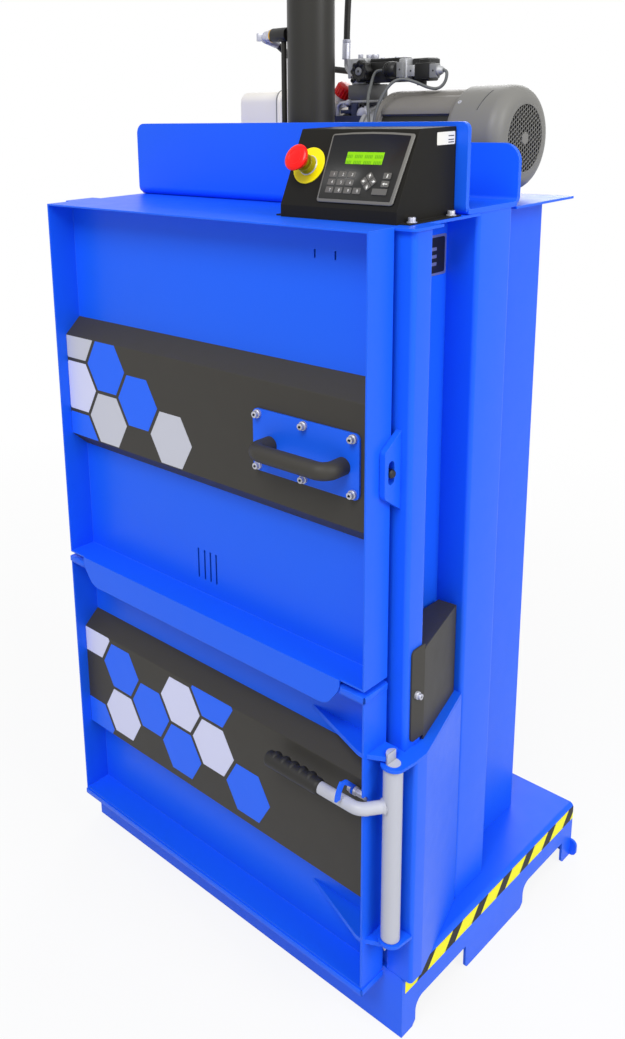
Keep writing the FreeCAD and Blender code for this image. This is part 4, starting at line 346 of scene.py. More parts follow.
class Piece:
    """Mesh work that becomes one object riding on one body. Lengths are in millimetres."""

    def __init__(self, name, body, slot, *finishes):
        self.name = name
        self.body = body
        self.slot = slot
        self.finishes = finishes
        self.tone = 0
        self.bm = bmesh.new()

    def take(self, part):
        """Adds a finished part in the tone that is set."""
        bmesh.ops.recalc_face_normals(part, faces=part.faces)
        for face in part.faces:
            face.material_index = self.tone
        mesh = bpy.data.meshes.new("part")
        part.to_mesh(mesh)
        part.free()
        self.bm.from_mesh(mesh)
        bpy.data.meshes.remove(mesh)

    def block(self, x, y, z, bevel=0.0, segments=2, place=None):
        part = bmesh.new()
        size = Matrix.Diagonal(((x[1] - x[0]) * MM, (y[1] - y[0]) * MM, (z[1] - z[0]) * MM, 1))
        middle = Matrix.Translation(at(x[0] + x[1], y[0] + y[1], z[0] + z[1]) / 2)
        bmesh.ops.create_cube(part, size=1, matrix=middle @ size)
        if bevel:
            rounded(part, part.edges[:], bevel, segments)
        if place is not None:
            bmesh.ops.transform(part, matrix=place, verts=part.verts)
        self.take(part)

    def rod(self, start, heading, radius, length, segments=32, bevel=0.0):
        """A round bar, or a six-sided one."""
        part = bmesh.new()
        heading = heading.normalized()
        bmesh.ops.create_cone(part, cap_ends=True, segments=segments, radius1=radius * MM,
            radius2=radius * MM, depth=length * MM, matrix=laid(start + heading * length * MM / 2, heading))
        if bevel:
            round_rims(part, bevel)
        self.take(part)

    def turned(self, start, heading, profile, segments=48):
        """A turned part: profile lists (distance along the axis, radius)."""
        part = bmesh.new()
        points = [part.verts.new((radius * MM, 0, reach * MM)) for reach, radius in profile]
        lines = [part.edges.new(pair) for pair in zip(points, points[1:])]
        bmesh.ops.spin(part, geom=points + lines, cent=(0, 0, 0), axis=(0, 0, 1), dvec=(0, 0, 0),
            angle=2 * math.pi, steps=segments, use_merge=True, use_duplicate=False)
        bmesh.ops.remove_doubles(part, verts=part.verts, dist=1e-6)
        bmesh.ops.transform(part, matrix=laid(start, heading.normalized()), verts=part.verts)
        self.take(part)

    def solid(self, start, heading, rim, segments=48):
        """A turned part that is full to its axis: rim holds its round side only."""
        self.turned(start, heading, [(rim[0][0], 0), *rim, (rim[-1][0], 0)], segments)

    def sheet(self, plane, outline, low, high, place=None, bevel=0.0):
        """A flat outline between two levels; a corner's third number rounds it, set back by that much."""
        part = bmesh.new()
        order = {"x": (2, 0, 1), "y": (0, 2, 1), "z": (0, 1, 2)}[plane]
        corners = []
        for point in outline:
            flat = (point[0], point[1], low)
            corners.append(part.verts.new(at(*(flat[i] for i in order))))
        part.faces.new(corners)
        for corner, point in zip(corners, outline):
            if len(point) > 2:
                bmesh.ops.bevel(part, geom=[corner], offset=point[2] * MM, segments=6, profile=0.5,
                    affect="VERTICES", material=-1)
        shift = (0, 0, high - low)
        grow(part, part.faces[:], at(*(shift[i] for i in order)))
        if bevel:
            round_rims(part, bevel)
        if place is not None:
            bmesh.ops.transform(part, matrix=place, verts=part.verts)
        self.take(part)

    def bent_bar(self, points, bends, radius, segments):
        """A round bar along straight runs, bent round the inner corners."""
        part = bmesh.new()
        here = points[0]
        heading = (points[1] - points[0]).normalized()
        bmesh.ops.create_circle(part, cap_ends=True, segments=segments, radius=radius * MM,
            matrix=laid(here, heading))
        end = part.faces[:]

        for corner, after, bend in zip(points[1:-1], points[2:], bends):
            turn = (after - corner).normalized()
            angle = heading.angle(turn)
            reach = bend * MM * math.tan(angle / 2)
            axis = heading.cross(turn).normalized()
            end = of_kind(BMFace, grow(part, end, corner - heading * reach - here))
            centre = corner - heading * reach + axis.cross(heading) * bend * MM
            swung = bmesh.ops.spin(part, geom=end, cent=centre, axis=axis, dvec=(0, 0, 0), angle=angle,
                steps=BEND_STEPS, use_merge=False, use_duplicate=False)["geom_last"]
            end = of_kind(BMFace, swung)
            here = corner + turn * reach
            heading = turn
        grow(part, end, points[-1] - here)
        self.take(part)

    def hose(self, points, radius, resolution):
        """A hose or cable on one smooth line drawn by its route's points."""
        curve = bpy.data.curves.new("route", "CURVE")
        curve.dimensions = "3D"
        line = curve.splines.new("NURBS")
        line.points.add(len(points) - 1)
        for control, point in zip(line.points, points):
            control.co = (*at(*point), 1)
        line.order_u = 3
        line.use_endpoint_u = True
        line.resolution_u = resolution
        curve.bevel_depth = radius * MM
        curve.bevel_resolution = 5
        curve.use_fill_caps = True
        self.take(drawn(curve, 1e-6))

    def figure(self, text, height, place):
        """A plain figure, laid flat as thin print."""
        words = bpy.data.curves.new("figure", "FONT")
        words.body = text
        words.size = height * MM
        words.extrude = 0.06 * MM
        words.align_x = "CENTER"
        part = drawn(words, 1e-7)
        bmesh.ops.transform(part, matrix=place, verts=part.verts)
        self.take(part)

    def socket_screw(self, start, heading, radius, height, key):
        """A round screw head with a six-sided socket."""
        part = bmesh.new()
        bmesh.ops.create_circle(part, cap_ends=True, segments=24, radius=radius * MM)
        top = of_kind(BMFace, grow(part, part.faces[:], (0, 0, height * MM)))
        rounded(part, top[0].edges[:], 0.08 * radius)
        top = [max((f for f in part.faces if len(f.verts) == 24), key=lambda f: f.calc_center_median().z)]
        outer = top[0].edges[:]
        bmesh.ops.delete(part, geom=top, context="FACES_ONLY")
        hole = bmesh.ops.create_circle(part, cap_ends=False, segments=6, radius=key * MM,
            matrix=Matrix.Translation((0, 0, height * MM)))["verts"]
        inner = list({e for v in hole for e in v.link_edges})
        bmesh.ops.bridge_loops(part, edges=[e for e in outer if e.is_valid] + inner)
        sunk = bmesh.ops.extrude_edge_only(part, edges=inner)["geom"]
        bmesh.ops.translate(part, vec=(0, 0, -0.6 * height * MM), verts=of_kind(BMVert, sunk))
        bmesh.ops.edgeloop_fill(part, edges=of_kind(BMEdge, sunk))
        bmesh.ops.transform(part, matrix=laid(start, heading.normalized()), verts=part.verts)
        self.take(part)

    def finish(self, *stands_for):
        """The object, on its body, with true edges kept sharp."""
        for face in self.bm.faces:
            face.smooth = True
        for edge in self.bm.edges:
            edge.smooth = not (len(edge.link_faces) == 2 and edge.calc_face_angle(0) > TRUE_EDGE)
        mesh = bpy.data.meshes.new(self.name)
        self.bm.to_mesh(mesh)
        self.bm.free()
        for finish in self.finishes:
            mesh.materials.append(finish)
        made = shown_object(self.name, mesh)
        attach(made, self.body)
        if stands_for:
            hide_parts(*stands_for)
        return made


# ---- paint on the sheet metal -------------------------------------------

CARRIED = {     # what each finish is put on
    BLUE: ["base_tray", "side_wall_right", "side_wall_left", "rear_wall", "corner_post_right",
        "corner_post_left", "side_column_right", "side_column_left", "roof_plate", "cross_beam",
        "lever_skirt", "lock_plates", "latch_plate", "lower_door_tray", "lock_claws", "lock_catch",
        "upper_door_tray", "handle_plate", "cylinder_flange"],
    CHARCOAL: ["lower_door_band", "upper_door_band", "side_cover"],
    SHADED_DESK_PAINT: ["console_housing"],
    STEEL: ["platen", "cylinder_gland"],
    SLATE: ["pump_block"],
    BLACK: ["motor_fan"],
}


def carry_over():
    """The drawn sheet metal keeps its shape and takes its paint."""
    for finish, names in CARRIED.items():
        for name in names:
            mesh = nodes[name].data
            mesh.materials.clear()
            mesh.materials.append(finish)
            smooth(nodes[name])


def smooth(made):
    """Folds and round edges of a drawn piece shade as curves."""
    for face in made.data.polygons:
        face.use_smooth = True
    weld = made.modifiers.new("weld", "WELD")
    weld.merge_threshold = 0.00001
    split = made.modifiers.new("true_edges", "EDGE_SPLIT")
    split.split_angle = FOLD_EDGE


# ---- doors --------------------------------------------------------------

CELL_HALF_WIDTH = 55.3
CELL_HALF_HEIGHT = 49.1
CELL_PITCH = (89.3, 105)
BAND_FACE_Y = 22
FILM = (-0.25, 0.05)    # from the face, out and in
BAND_END = -373


def honeycomb(name, body, first, edges, cells):
    """Hexagonal fields of colour on a band's face, cut at its folds."""
    field = Piece(name, body, "charcoal_paint", BLUE_FIELD, PALE_FIELD, LIGHT_FIELD)
    for column, row, tone in cells:
        x = first[0] + column * CELL_PITCH[0]
        z = first[1] - row * CELL_PITCH[1] - (column % 2) * CELL_PITCH[1] / 2
        w, h = CELL_HALF_WIDTH, CELL_HALF_HEIGHT
        outline = [(x - w, z), (x - w / 2, z - h), (x + w / 2, z - h), (x + w, z), (x + w / 2, z + h),
            (x - w / 2, z + h)]
        field.tone = tone
        field.sheet("y", outline, BAND_FACE_Y + FILM[0], BAND_FACE_Y + FILM[1])
    bm = field.bm
    for height, side in ((edges[0] + 0.6, -1), (edges[1] - 0.6, 1)):
        cut(bm, at(0, 0, height), Vector((0, 0, side)))
    cut(bm, at(BAND_END, 0, 0), Vector((-1, 0, 0)))
    return field.finish()


def cut(bm, point, away):
    """Takes off what lies beyond a plane and closes the cut."""
    made = bmesh.ops.bisect_plane(bm, geom=bm.verts[:] + bm.edges[:] + bm.faces[:], dist=1e-7, plane_co=point,
        plane_no=away, clear_outer=True)["geom_cut"]
    bmesh.ops.holes_fill(bm, edges=of_kind(BMEdge, made), sides=0)


def door_fittings():
    honeycomb("upper_fields", "upper_door", (-343.3, 1153), (944.5, 1149),
        [(0, 0, 1), (1, 0, 0), (0, 1, 2), (1, 1, 1), (2, 1, 0), (0, 2, 0), (3, 1, 1)])
    honeycomb("lower_fields", "lower_door", (-348.7, 505.5), (283, 512),
        [(0, 0, 2), (0, 2, 0), (1, 0, 0), (1, 1, 2), (2, 1, 0), (3, 0, 2), (3, 1, 0), (4, 0, 0), (4, 1, 2),
        (5, 1, 0)])

    bow = Piece("bow_handle", "upper_door", "black_plastic", CHARCOAL)
    left, right, z, seat, out = 170.5, 319, 1045, 18, -24
    bow.bent_bar([at(left, seat, z), at(left, out, z), at(right, out, z), at(right, seat, z)], [19, 19], 14.4,
        40)
    bow.finish("door_handle")

    lips = Piece("tray_lips", "lower_door", "blue_paint", BLUE)
    side, front, height = 376.5, -3, 11
    for low, spans in ((111.4, ((-side, side + 3),)), (671, ((-side, -331), (331, side + 3)))):
        for span in spans:
            lips.block(span, (front, 0.4), (low, low + height), 0.9)
        lips.block((side - 0.4, side + 3), (front, 58), (low, low + height), 0.9)
    lips.finish()

    screws = Piece("plate_screws", "upper_door", "plain_steel", ZINC)
    for x in (145, 242, 339):
        for z in (1004.5, 1093):
            screws.solid(at(x, seat, z), -ALONG_Y, [(0, 7.3), (4.4, 7.3), (5.2, 6.4)], 28)
            screws.socket_screw(at(x, seat - 5.2, z), -ALONG_Y, 5.4, 5.6, 2.4)
    screws.finish("handle_screws")

    bolt = Piece("latch_bar", "latch", "plain_steel", DARK_STEEL)
    bolt.solid(at(300, 48, 1041), ALONG_X, [(0, 6.2), (1, 7.2), (88.6, 7.2), (91, 5.4)], 32)
    bolt.finish("latch_bolt")


# ---- hinges -------------------------------------------------------------

HINGE = (-392, 30)
HINGE_HEIGHTS = {"lower": (180, 560), "upper": (800, 1290)}


def hinges():
    """Bored lugs on the doors between two lugs on the post, each set with its pin."""
    brackets = Piece("hinge_lugs", "frame", "blue_paint", BLUE, ZINC)
    x, y = HINGE
    for z in HINGE_HEIGHTS["lower"] + HINGE_HEIGHTS["upper"]:
        for low in (z - 40.4, z + 20.4):
            brackets.tone = 0
            brackets.sheet("z", [(x - 9, y), (x - 9, y - 9, 8.9), (x + 9, y - 9, 8.9), (x + 9, 71.9),
                (x - 3, 71.9), (x - 3, y + 9), (x - 9, y + 9, 8.9)], low, low + 20, bevel=0.7)
        brackets.sheet("z", oblong((x - 3, x + 9), (y + 14, 71.9)), z - 20.4, z + 20.4)
        brackets.tone = 1
        brackets.solid(at(x, y, z - 42.4), UP, [(0, 5.2), (1.2, 6), (2.2, 6), (2.2, 4.95), (82.6, 4.95),
            (82.6, 6), (83.6, 6), (84.8, 5.2)], 32)
    brackets.finish("hinge_brackets")
    for door, heights in HINGE_HEIGHTS.items():
        eyes = Piece(door + "_hinge_eyes", door + "_door", "blue_paint", BLUE)
        for z in heights:
            ring = [(-20, 5.06), (-20, 8.6), (-19.4, 9), (19.4, 9), (20, 8.6), (20, 5.06), (-20, 5.06)]
            eyes.turned(at(x, y, z), UP, ring, 40)
            eyes.block((x + 6.2, -376.5), (y - 9, y + 9), (z - 20, z + 20), 0.7)
        eyes.finish(door + "_door_hinges")


# ---- closing lever ------------------------------------------------------

LEVER = (407.6, 36.6)
ARM = (-10, 483)        # the arm's depth and height


def half_moon(piece, low, high):
    """A pin end with its half away from the door cut off."""
    part = bmesh.new()
    x, y = LEVER
    bmesh.ops.create_cone(part, cap_ends=True, segments=48, radius1=12 * MM, radius2=12 * MM,
        depth=(high - low) * MM, matrix=Matrix.Translation(at(x, y, (low + high) / 2)))
    cut(part, at(x - 2.6, 0, 0), ALONG_X)
    round_rims(part, 0.8)
    piece.take(part)


def lever_fittings():
    x, y = LEVER
    lever = Piece("bar_lever", "lever", "lever_paint", LEVER_GREY)
    lever.solid(at(x, y, 225.3), UP, [(0, 14.6), (1.4, 16), (329, 16), (330.4, 14.6)], 48)
    lever.rod(at(x, y, 219.7), UP, 12, 6, 48)
    lever.rod(at(x, y, 555), UP, 12, 7, 48)
    half_moon(lever, 204, 219.8)
    half_moon(lever, 561.9, 580)
    start, corner, end = at(x, y, ARM[1]), at(376, *ARM), at(188, *ARM)
    lever.bent_bar([start, corner, end], [26], 10.65, 36)
    away = (corner - start).normalized()
    lever.turned(start + away * 0.0146, away, [(0, 8), (0, 13.6), (1.2, 13.2), (3.4, 11.4), (5, 10.7),
        (5, 8)], 36)
    lever.finish("closing_lever")

    grip = Piece("finger_grip", "lever", "black_plastic", GRIP)
    grip.turned(at(180, *ARM), ALONG_X, [(0, 0), (0, 9.5), (1, 12.2), (3.4, 13.8), (6, 14), (111, 14),
        (113, 13.8), (115, 13), (117, 11.6), (117, 10.7)], 40)
    pitch = 19.4
    for number in range(5):
        rest = [(0, 9), (0.6, 11.6), (2.4, 13.4), (4.6, 14.2), (6.4, 14.2), (8.6, 13.4), (10.4, 11.6),
            (11, 9)]
        grip.turned(at(191.5 + pitch * number, -7.6, 485.4), ALONG_X, rest, 36)
    grip.finish("lever_grip")

    bolt = Piece("catch_screw", "lower_door", "plain_steel", ZINC)
    y, z = 14, 492
    bolt.rod(at(341, y, z), ALONG_X, 3.97, 32.5, 32)
    bolt.solid(at(342, y, z), ALONG_X, [(0, 7), (0.5, 7.5), (2.2, 7.5), (2.7, 7)], 32)
    bolt.solid(at(349.3, y, z), ALONG_X, [(0, 7), (0.5, 7.5), (4.4, 7.5), (4.9, 7)], 32)
    bolt.socket_screw(at(342, y, z), -ALONG_X, 6, 5, 2.6)
    bolt.rod(at(354.2, y, z), ALONG_X, 6.6, 19.2, 6, bevel=0.5)
    bolt.finish("catch_bolt")


# ---- covers, plates and small screws ------------------------------------

def small_fittings():
    screw = Piece("cover_screw", "frame", "plain_steel", ZINC)
    y, z = 98, 654
    screw.solid(at(407.02, y, z), ALONG_X, [(0, 6.8), (4.2, 6.6), (5, 5.6)], 28)
    screw.socket_screw(at(412, y, z), ALONG_X, 5, 5, 2.2)
    screw.finish("cover_bolt")

    feet = Piece("desk_screws", "frame", "plain_steel", ZINC)
    for x in (129.5, 371.5):
        for y in (110, 213):
            feet.solid(at(x, y, 1407), UP, [(0, 7.4), (0.4, 7.6), (1.4, 7.6), (1.6, 7.3)], 28)
            feet.socket_screw(at(x, y, 1408.5), UP, 5.5, 6.5, 2.5)
    feet.finish("console_bolts")

    hexes = Piece("flange_screws", "frame", "plain_steel", ZINC)
    for x in (-51, 51):
        for y in (277, 367):
            hexes.solid(at(x, y, 1433.5), UP, [(0, 11.6), (0.4, 12), (2, 12), (2.4, 11.6)], 32)
            hexes.rod(at(x, y, 1435.8), UP, 11.2, 7.6, 6, bevel=0.7)
    hexes.finish("flange_bolts")

    plate = Piece("data_plate", "frame", "label_metal", LABEL, SATIN_BLACK)
    plate.sheet("x", oblong((200, 273.5), (1306, 1371), 4), 325, 325.9)
    plate.tone = 1
    plate.sheet("x", oblong((206, 269), (1310, 1367), 4), 325.8, 326.05)
    plate.tone = 0
    for z in (1322, 1334, 1346):
        plate.sheet("x", oblong((212, 246), (z, z + 5.4), 1), 325.9, 326.12)
    plate.finish("rating_plate")

    tape = Piece("edge_tape", "frame", "blue_paint", TAPE)
    low, high = 88.5, 118
    for side in (-1, 1):
        tape.block(sorted((side * 415.9, side * 416.25)), (72, 680.2), (low, high))
    tape.block((-416.2, 416.2), (679.9, 680.25), (low, high))
    tape.finish()


# ---- control desk -------------------------------------------------------

SLOPE_FOOT = at(0, 86, 1424)
SLOPE_TURN = math.atan2(1539 - 1424, 140.6 - 86)
SLOPE = Matrix.Translation(SLOPE_FOOT) @ Matrix.Rotation(SLOPE_TURN, 4, "X")
SLOPE_OUT = Vector((0, -math.sin(SLOPE_TURN), math.cos(SLOPE_TURN)))
PANEL_X = 281
PANEL_MIDDLE = 62.65


def on_slope(x, up, out=0):
    """A point of the desk's sloping face."""
    return SLOPE @ at(x, up, out)


def desk_fittings():
    base = Piece("stop_disc", "frame", "yellow_plastic", YELLOW, SHADED_COLLAR, ZINC)
    x, up = 174.8, 66
    base.turned(on_slope(x, up), SLOPE_OUT, [(0, 9.2), (0, 30), (1, 30), (1.5, 29.4), (1.5, 9.2), (0, 9.2)],
        72)
    base.tone = 2
    base.turned(on_slope(x, up, 1.4), SLOPE_OUT, [(0, 9.2), (0, 16.4), (1.2, 16.4), (1.8, 15.6), (1.8, 9.2),
        (0, 9.2)], 48)
    base.tone = 1
    base.turned(on_slope(x, up, 3), SLOPE_OUT, [(0, 9.2), (0, 15.2), (9.4, 14.2), (10.4, 13.4), (10.4, 9.2),
        (0, 9.2)], 48)
    base.finish("stop_button_base")

    button = Piece("stop_head", "button", "red_plastic", RED, SHADED_COLLAR)
    low = 22
    head = [(0, 0), (0, 13.6), (0.8, 14.4), (6, 17.2), (10.5, 20.8), (12, 21.5), (13.4, 21.4), (15.2, 19.6),
        (16.2, 16.4), (16.6, 12), (16.2, 11.4), (16.8, 7), (17.1, 3), (17.2, 0)]
    button.turned(on_slope(x, up, low), SLOPE_OUT, head, 64)
    button.tone = 1
    button.rod(on_slope(x, up, 8.2), SLOPE_OUT, 8.95, 14.6, 40)
    button.finish("stop_button")

    tag = Piece("side_tag", "frame", "label_metal", KEY_MARK, SATIN_BLACK)
    tag.sheet("x", oblong((184, 232), (1513, 1532), 2), 361.9, 362.3)
    tag.tone = 1
    for low in (1515.6, 1519.4, 1525):
        tag.sheet("x", oblong((214, 229), (low, low + 1.4)), 362.2, 362.4)
    tag.finish()

    keypad()


def keypad():
    """The raised screen and key field: border, dark field, display window, numbered keys and arrows."""
    panel = Piece("key_field", "frame", "black_plastic", BEZEL, SATIN_BLACK, KEY, SCREEN, KEY_MARK)

    def flat(tone, outline, bottom, out, bevel=0):
        panel.tone = tone
        outline = [(PANEL_X + p[0], PANEL_MIDDLE + p[1], *p[2:]) for p in outline]
        panel.sheet("z", outline, bottom, out, SLOPE, bevel)

    def key(x, up, wide, high, corner=1.4):
        flat(2, oblong((x - wide, x + wide), (up - high, up + high), corner), 2.8, 3.3)

    border = [(-70.8, -54.8, 5), (71.6, -54.8, 5), (78, 56.4, 5), (37, 58.6), (0, 59.2), (-37, 58.2),
        (-75, 55.6, 5)]
    field = [(-67.6, -49.4, 2), (65.6, -49.4, 2), (71.2, 52.8, 2), (36, 54.8), (0, 55.4), (-36, 54.8),
        (-71.6, 52.8, 2)]
    flat(0, border, 0, 2.9, 1.8)
    flat(1, field, 2.4, 3)
    flat(3, oblong((-35.2, 33), (7, 26.4), 0.6), 2.9, 3.15)
    for number in range(10):
        x, up = (0.9, -34.9) if number == 9 else (-51 + 17.45 * (number % 3), -9.8 - 12.55 * (number // 3))
        key(x, up, 7, 4.9)
        panel.tone = 4
        panel.figure(str((number + 1) % 10), 6.4, SLOPE @ Matrix.Translation(at(PANEL_X + x + 1.4,
            PANEL_MIDDLE + up - 2.2, 3.25)))
    for turn in range(4):
        place = Matrix.Translation(at(18, -19.2, 0)) @ Matrix.Rotation(math.radians(45 + 90 * turn), 4, "Z")
        corners = oblong((0.5, 10.8), (0.5, 10.8))
        mark = [(8.9, 8.9), (7.5, 4.1), (6.2, 5.4), (4.6, 3.8), (3.8, 4.6), (5.4, 6.2), (4.1, 7.5)]
        for tone, outline, out in ((2, corners, 3.3), (4, mark, 3.36)):
            turned = [place @ at(u, v, 0) / MM for u, v in outline]
            rounds = (0.5, 1.4, 2.6, 1.4) if tone == 2 else (0,) * 7
            flat(tone, [(p.x, p.y, r) if r else (p.x, p.y) for p, r in zip(turned, rounds)], 2.8, out)
    key(48.9, -9.8, 6.8, 4.9)
    key(48.6, -22.3, 6.8, 4.9)
    flat(4, [(48, -12.4), (50, -12.4), (50.4, -7), (48.8, -7)], 3.2, 3.36)
    flat(4, [(44.2, -22.3), (47.4, -20), (47.4, -21.5), (53, -21.5), (53, -23.1), (47.4, -23.1),
        (47.4, -24.6)], 3.2, 3.36)
    key(42.3, -34.6, 13.2, 4.8, 0.8)
    panel.finish("operator_panel")


# ---- press cylinder and its pipework ------------------------------------

PRESS = (0, 328)
PIPE = (-52, 314)
ELBOW = (-107, 314)


def press_fittings():
    x, y = PRESS
    barrel = Piece("press_barrel", "frame", "charcoal_paint", BARREL, ZINC)
    barrel.turned(at(x, y, 1345), UP, [(0, 34), (0, 41.9), (0.6, 42.5), (604, 42.5), (606, 44), (612, 44),
        (614, 42.5), (636, 42.5), (640, 38.5), (640, 0), (618, 0), (618, 34), (0, 34)], 96)
    toward = Vector((-52, -14, 0)).normalized()
    side = toward.to_track_quat("X", "Z").to_matrix().to_4x4()
    barrel.block((38, 59.5), (-11, 11), (-12, 12), 1, place=Matrix.Translation(at(x, y, 1447)) @ side)
    hose_way = Vector((-50, 158, 0)).normalized()
    barrel.rod(at(x, y, 1935) + hose_way * 0.036, hose_way, 11, 14.5, 32, bevel=0.8)
    barrel.tone = 1
    barrel.rod(at(*PIPE, 1458.8), UP, 9.5, 10, 6, bevel=0.6)
    barrel.finish("cylinder_barrel")

    rod = Piece("chromed_rod", "ram", "bright_steel", CHROME, STEEL)
    rod.solid(at(x, y, 1253.3), UP, [(0, 21.5), (1, 22.5), (672, 22.5)], 64)
    rod.tone = 1
    rod.turned(at(x, y, 1924), UP, [(0, 20), (0, 33.9), (10, 33.9), (10, 32), (14, 32), (14, 33.9),
        (20, 33.9), (20, 32), (24, 32), (24, 33.9), (34, 33.9), (34, 0)], 64)
    rod.finish("piston_rod")

    pipe = Piece("steel_pipe", "frame", "plain_steel", BARREL)
    pipe.rod(at(*PIPE, 1459), UP, 5, 229, 32)
    pipe.finish("rigid_pipe")

    corner = at(*ELBOW, 1697)
    drop = Vector((0, 0.965, -0.262))
    elbow = Piece("pipe_union", "frame", "bright_steel", BLACK, ZINC, BRASS_RING)
    elbow.rod(at(*PIPE, 1686), UP, 10, 12, 40, bevel=1.4)
    elbow.solid(at(-42, 314, 1698), -ALONG_X, [(0, 12.4), (34, 12.4), (35.5, 11.6)], 40)
    elbow.tone = 2
    elbow.solid(at(-77, 314, 1697.5), -ALONG_X, [(0, 12), (2.6, 12)], 40)
    elbow.tone = 1
    elbow.rod(at(-79, 314, 1697), -ALONG_X, 11.6, 9, 6, bevel=0.7)
    elbow.rod(at(-88, 314, 1697), -ALONG_X, 9.6, 8, 32, bevel=0.8)
    elbow.rod(at(*ELBOW, 1690), UP, 9.4, 14, 6, bevel=0.7)
    elbow.bent_bar([at(-90, 314, 1697), corner, corner + drop * 0.024], [10], 7, 28)
    elbow.rod(corner + drop * 0.010, drop, 8, 34, 28, bevel=0.8)
    elbow.finish("pipe_elbow")


HOSE_RADIUS = 6.1
CABLE_RADIUS = 2.75

SHORT_HOSE = [(-107, 354, 1686), (-107, 380, 1672), (-107, 408, 1652), (-107, 440, 1643), (-107, 478, 1641),
    (-106, 511, 1640), (-78, 517, 1636), (-56, 516, 1633), (-40, 516, 1632)]
LONG_HOSE = [(-44, 486.5, 1684), (-43, 487, 1740), (-39, 488, 1800), (-41, 488, 1868), (-50, 484, 1935),
    (-35.5, 440.3, 1935), (-26, 410, 1935), (-15.4, 376.5, 1935)]


def hoses():
    for node, points in (("short_hose", SHORT_HOSE), ("long_hose", LONG_HOSE)):
        line = Piece(node + "_line", "frame", "hose_rubber", RUBBER)
        line.hose(points, HOSE_RADIUS, 16)
        line.finish(node)

    ends = Piece("hose_ends", "frame", "bright_steel", ZINC, STEEL)
    foot, bend, top = at(-22, 477, 1622), at(-44.6, 485.6, 1641), at(-44.8, 486, 1662)
    lean = at(1, 0.5, 40).normalized()
    ends.turned(at(-44.8, 486, 1655), lean, [(0, 4), (0, 7), (1.2, 7.8), (29, 7.8), (30, 7.3), (31, 7.8),
        (36, 7.8), (37, 7), (37, 5)], 36)
    ends.rod(at(-24.2, 516, 1632), -ALONG_X, 8.6, 6, 6, bevel=0.6)
    ends.turned(at(-30, 516, 1632), -ALONG_X, [(0, 5), (0, 7.6), (1, 8.1), (10, 8.1), (11.5, 7.2), (11.5, 5)],
        36)
    ends.tone = 1
    ends.bent_bar([foot, bend, top], [15], 3.7, 28)
    ends.finish("hose_ferrules")


LEFT_CABLE = [(57.2, 467, 1631), (46, 467, 1631.4), (38.6, 464, 1627), (44, 447, 1607), (56, 420, 1578),
    (69.5, 408, 1545), (71.5, 406.5, 1500), (71.5, 406.5, 1455), (71.5, 406.5, 1410)]
RIGHT_CABLE = [(177.6, 480, 1626.5), (182, 480, 1626.5), (186.5, 479, 1620), (184, 476, 1604),
    (174, 470, 1594), (158, 462, 1597), (140, 450, 1608), (112, 438, 1616), (95, 424, 1600),
    (80.5, 406.8, 1553), (80.5, 406.5, 1500), (86, 406.5, 1450), (87, 406.5, 1410)]


def cables():
    entry = Piece("valve_cables", "frame", "grey_plastic", CABLE, BLACK)
    for points in (LEFT_CABLE, RIGHT_CABLE):
        entry.hose(points, CABLE_RADIUS, 14)
    entry.tone = 1
    entry.block((61, 98), (400.5, 412.5), (1405, 1411), 1.4)
    for x in (71.5, 87):
        entry.solid(at(x, 406.5, 1410.8), UP, [(0, 5.4), (6, 4.4), (7, 3.4)], 28)
    entry.finish("control_cables")


# ---- valve --------------------------------------------------------------

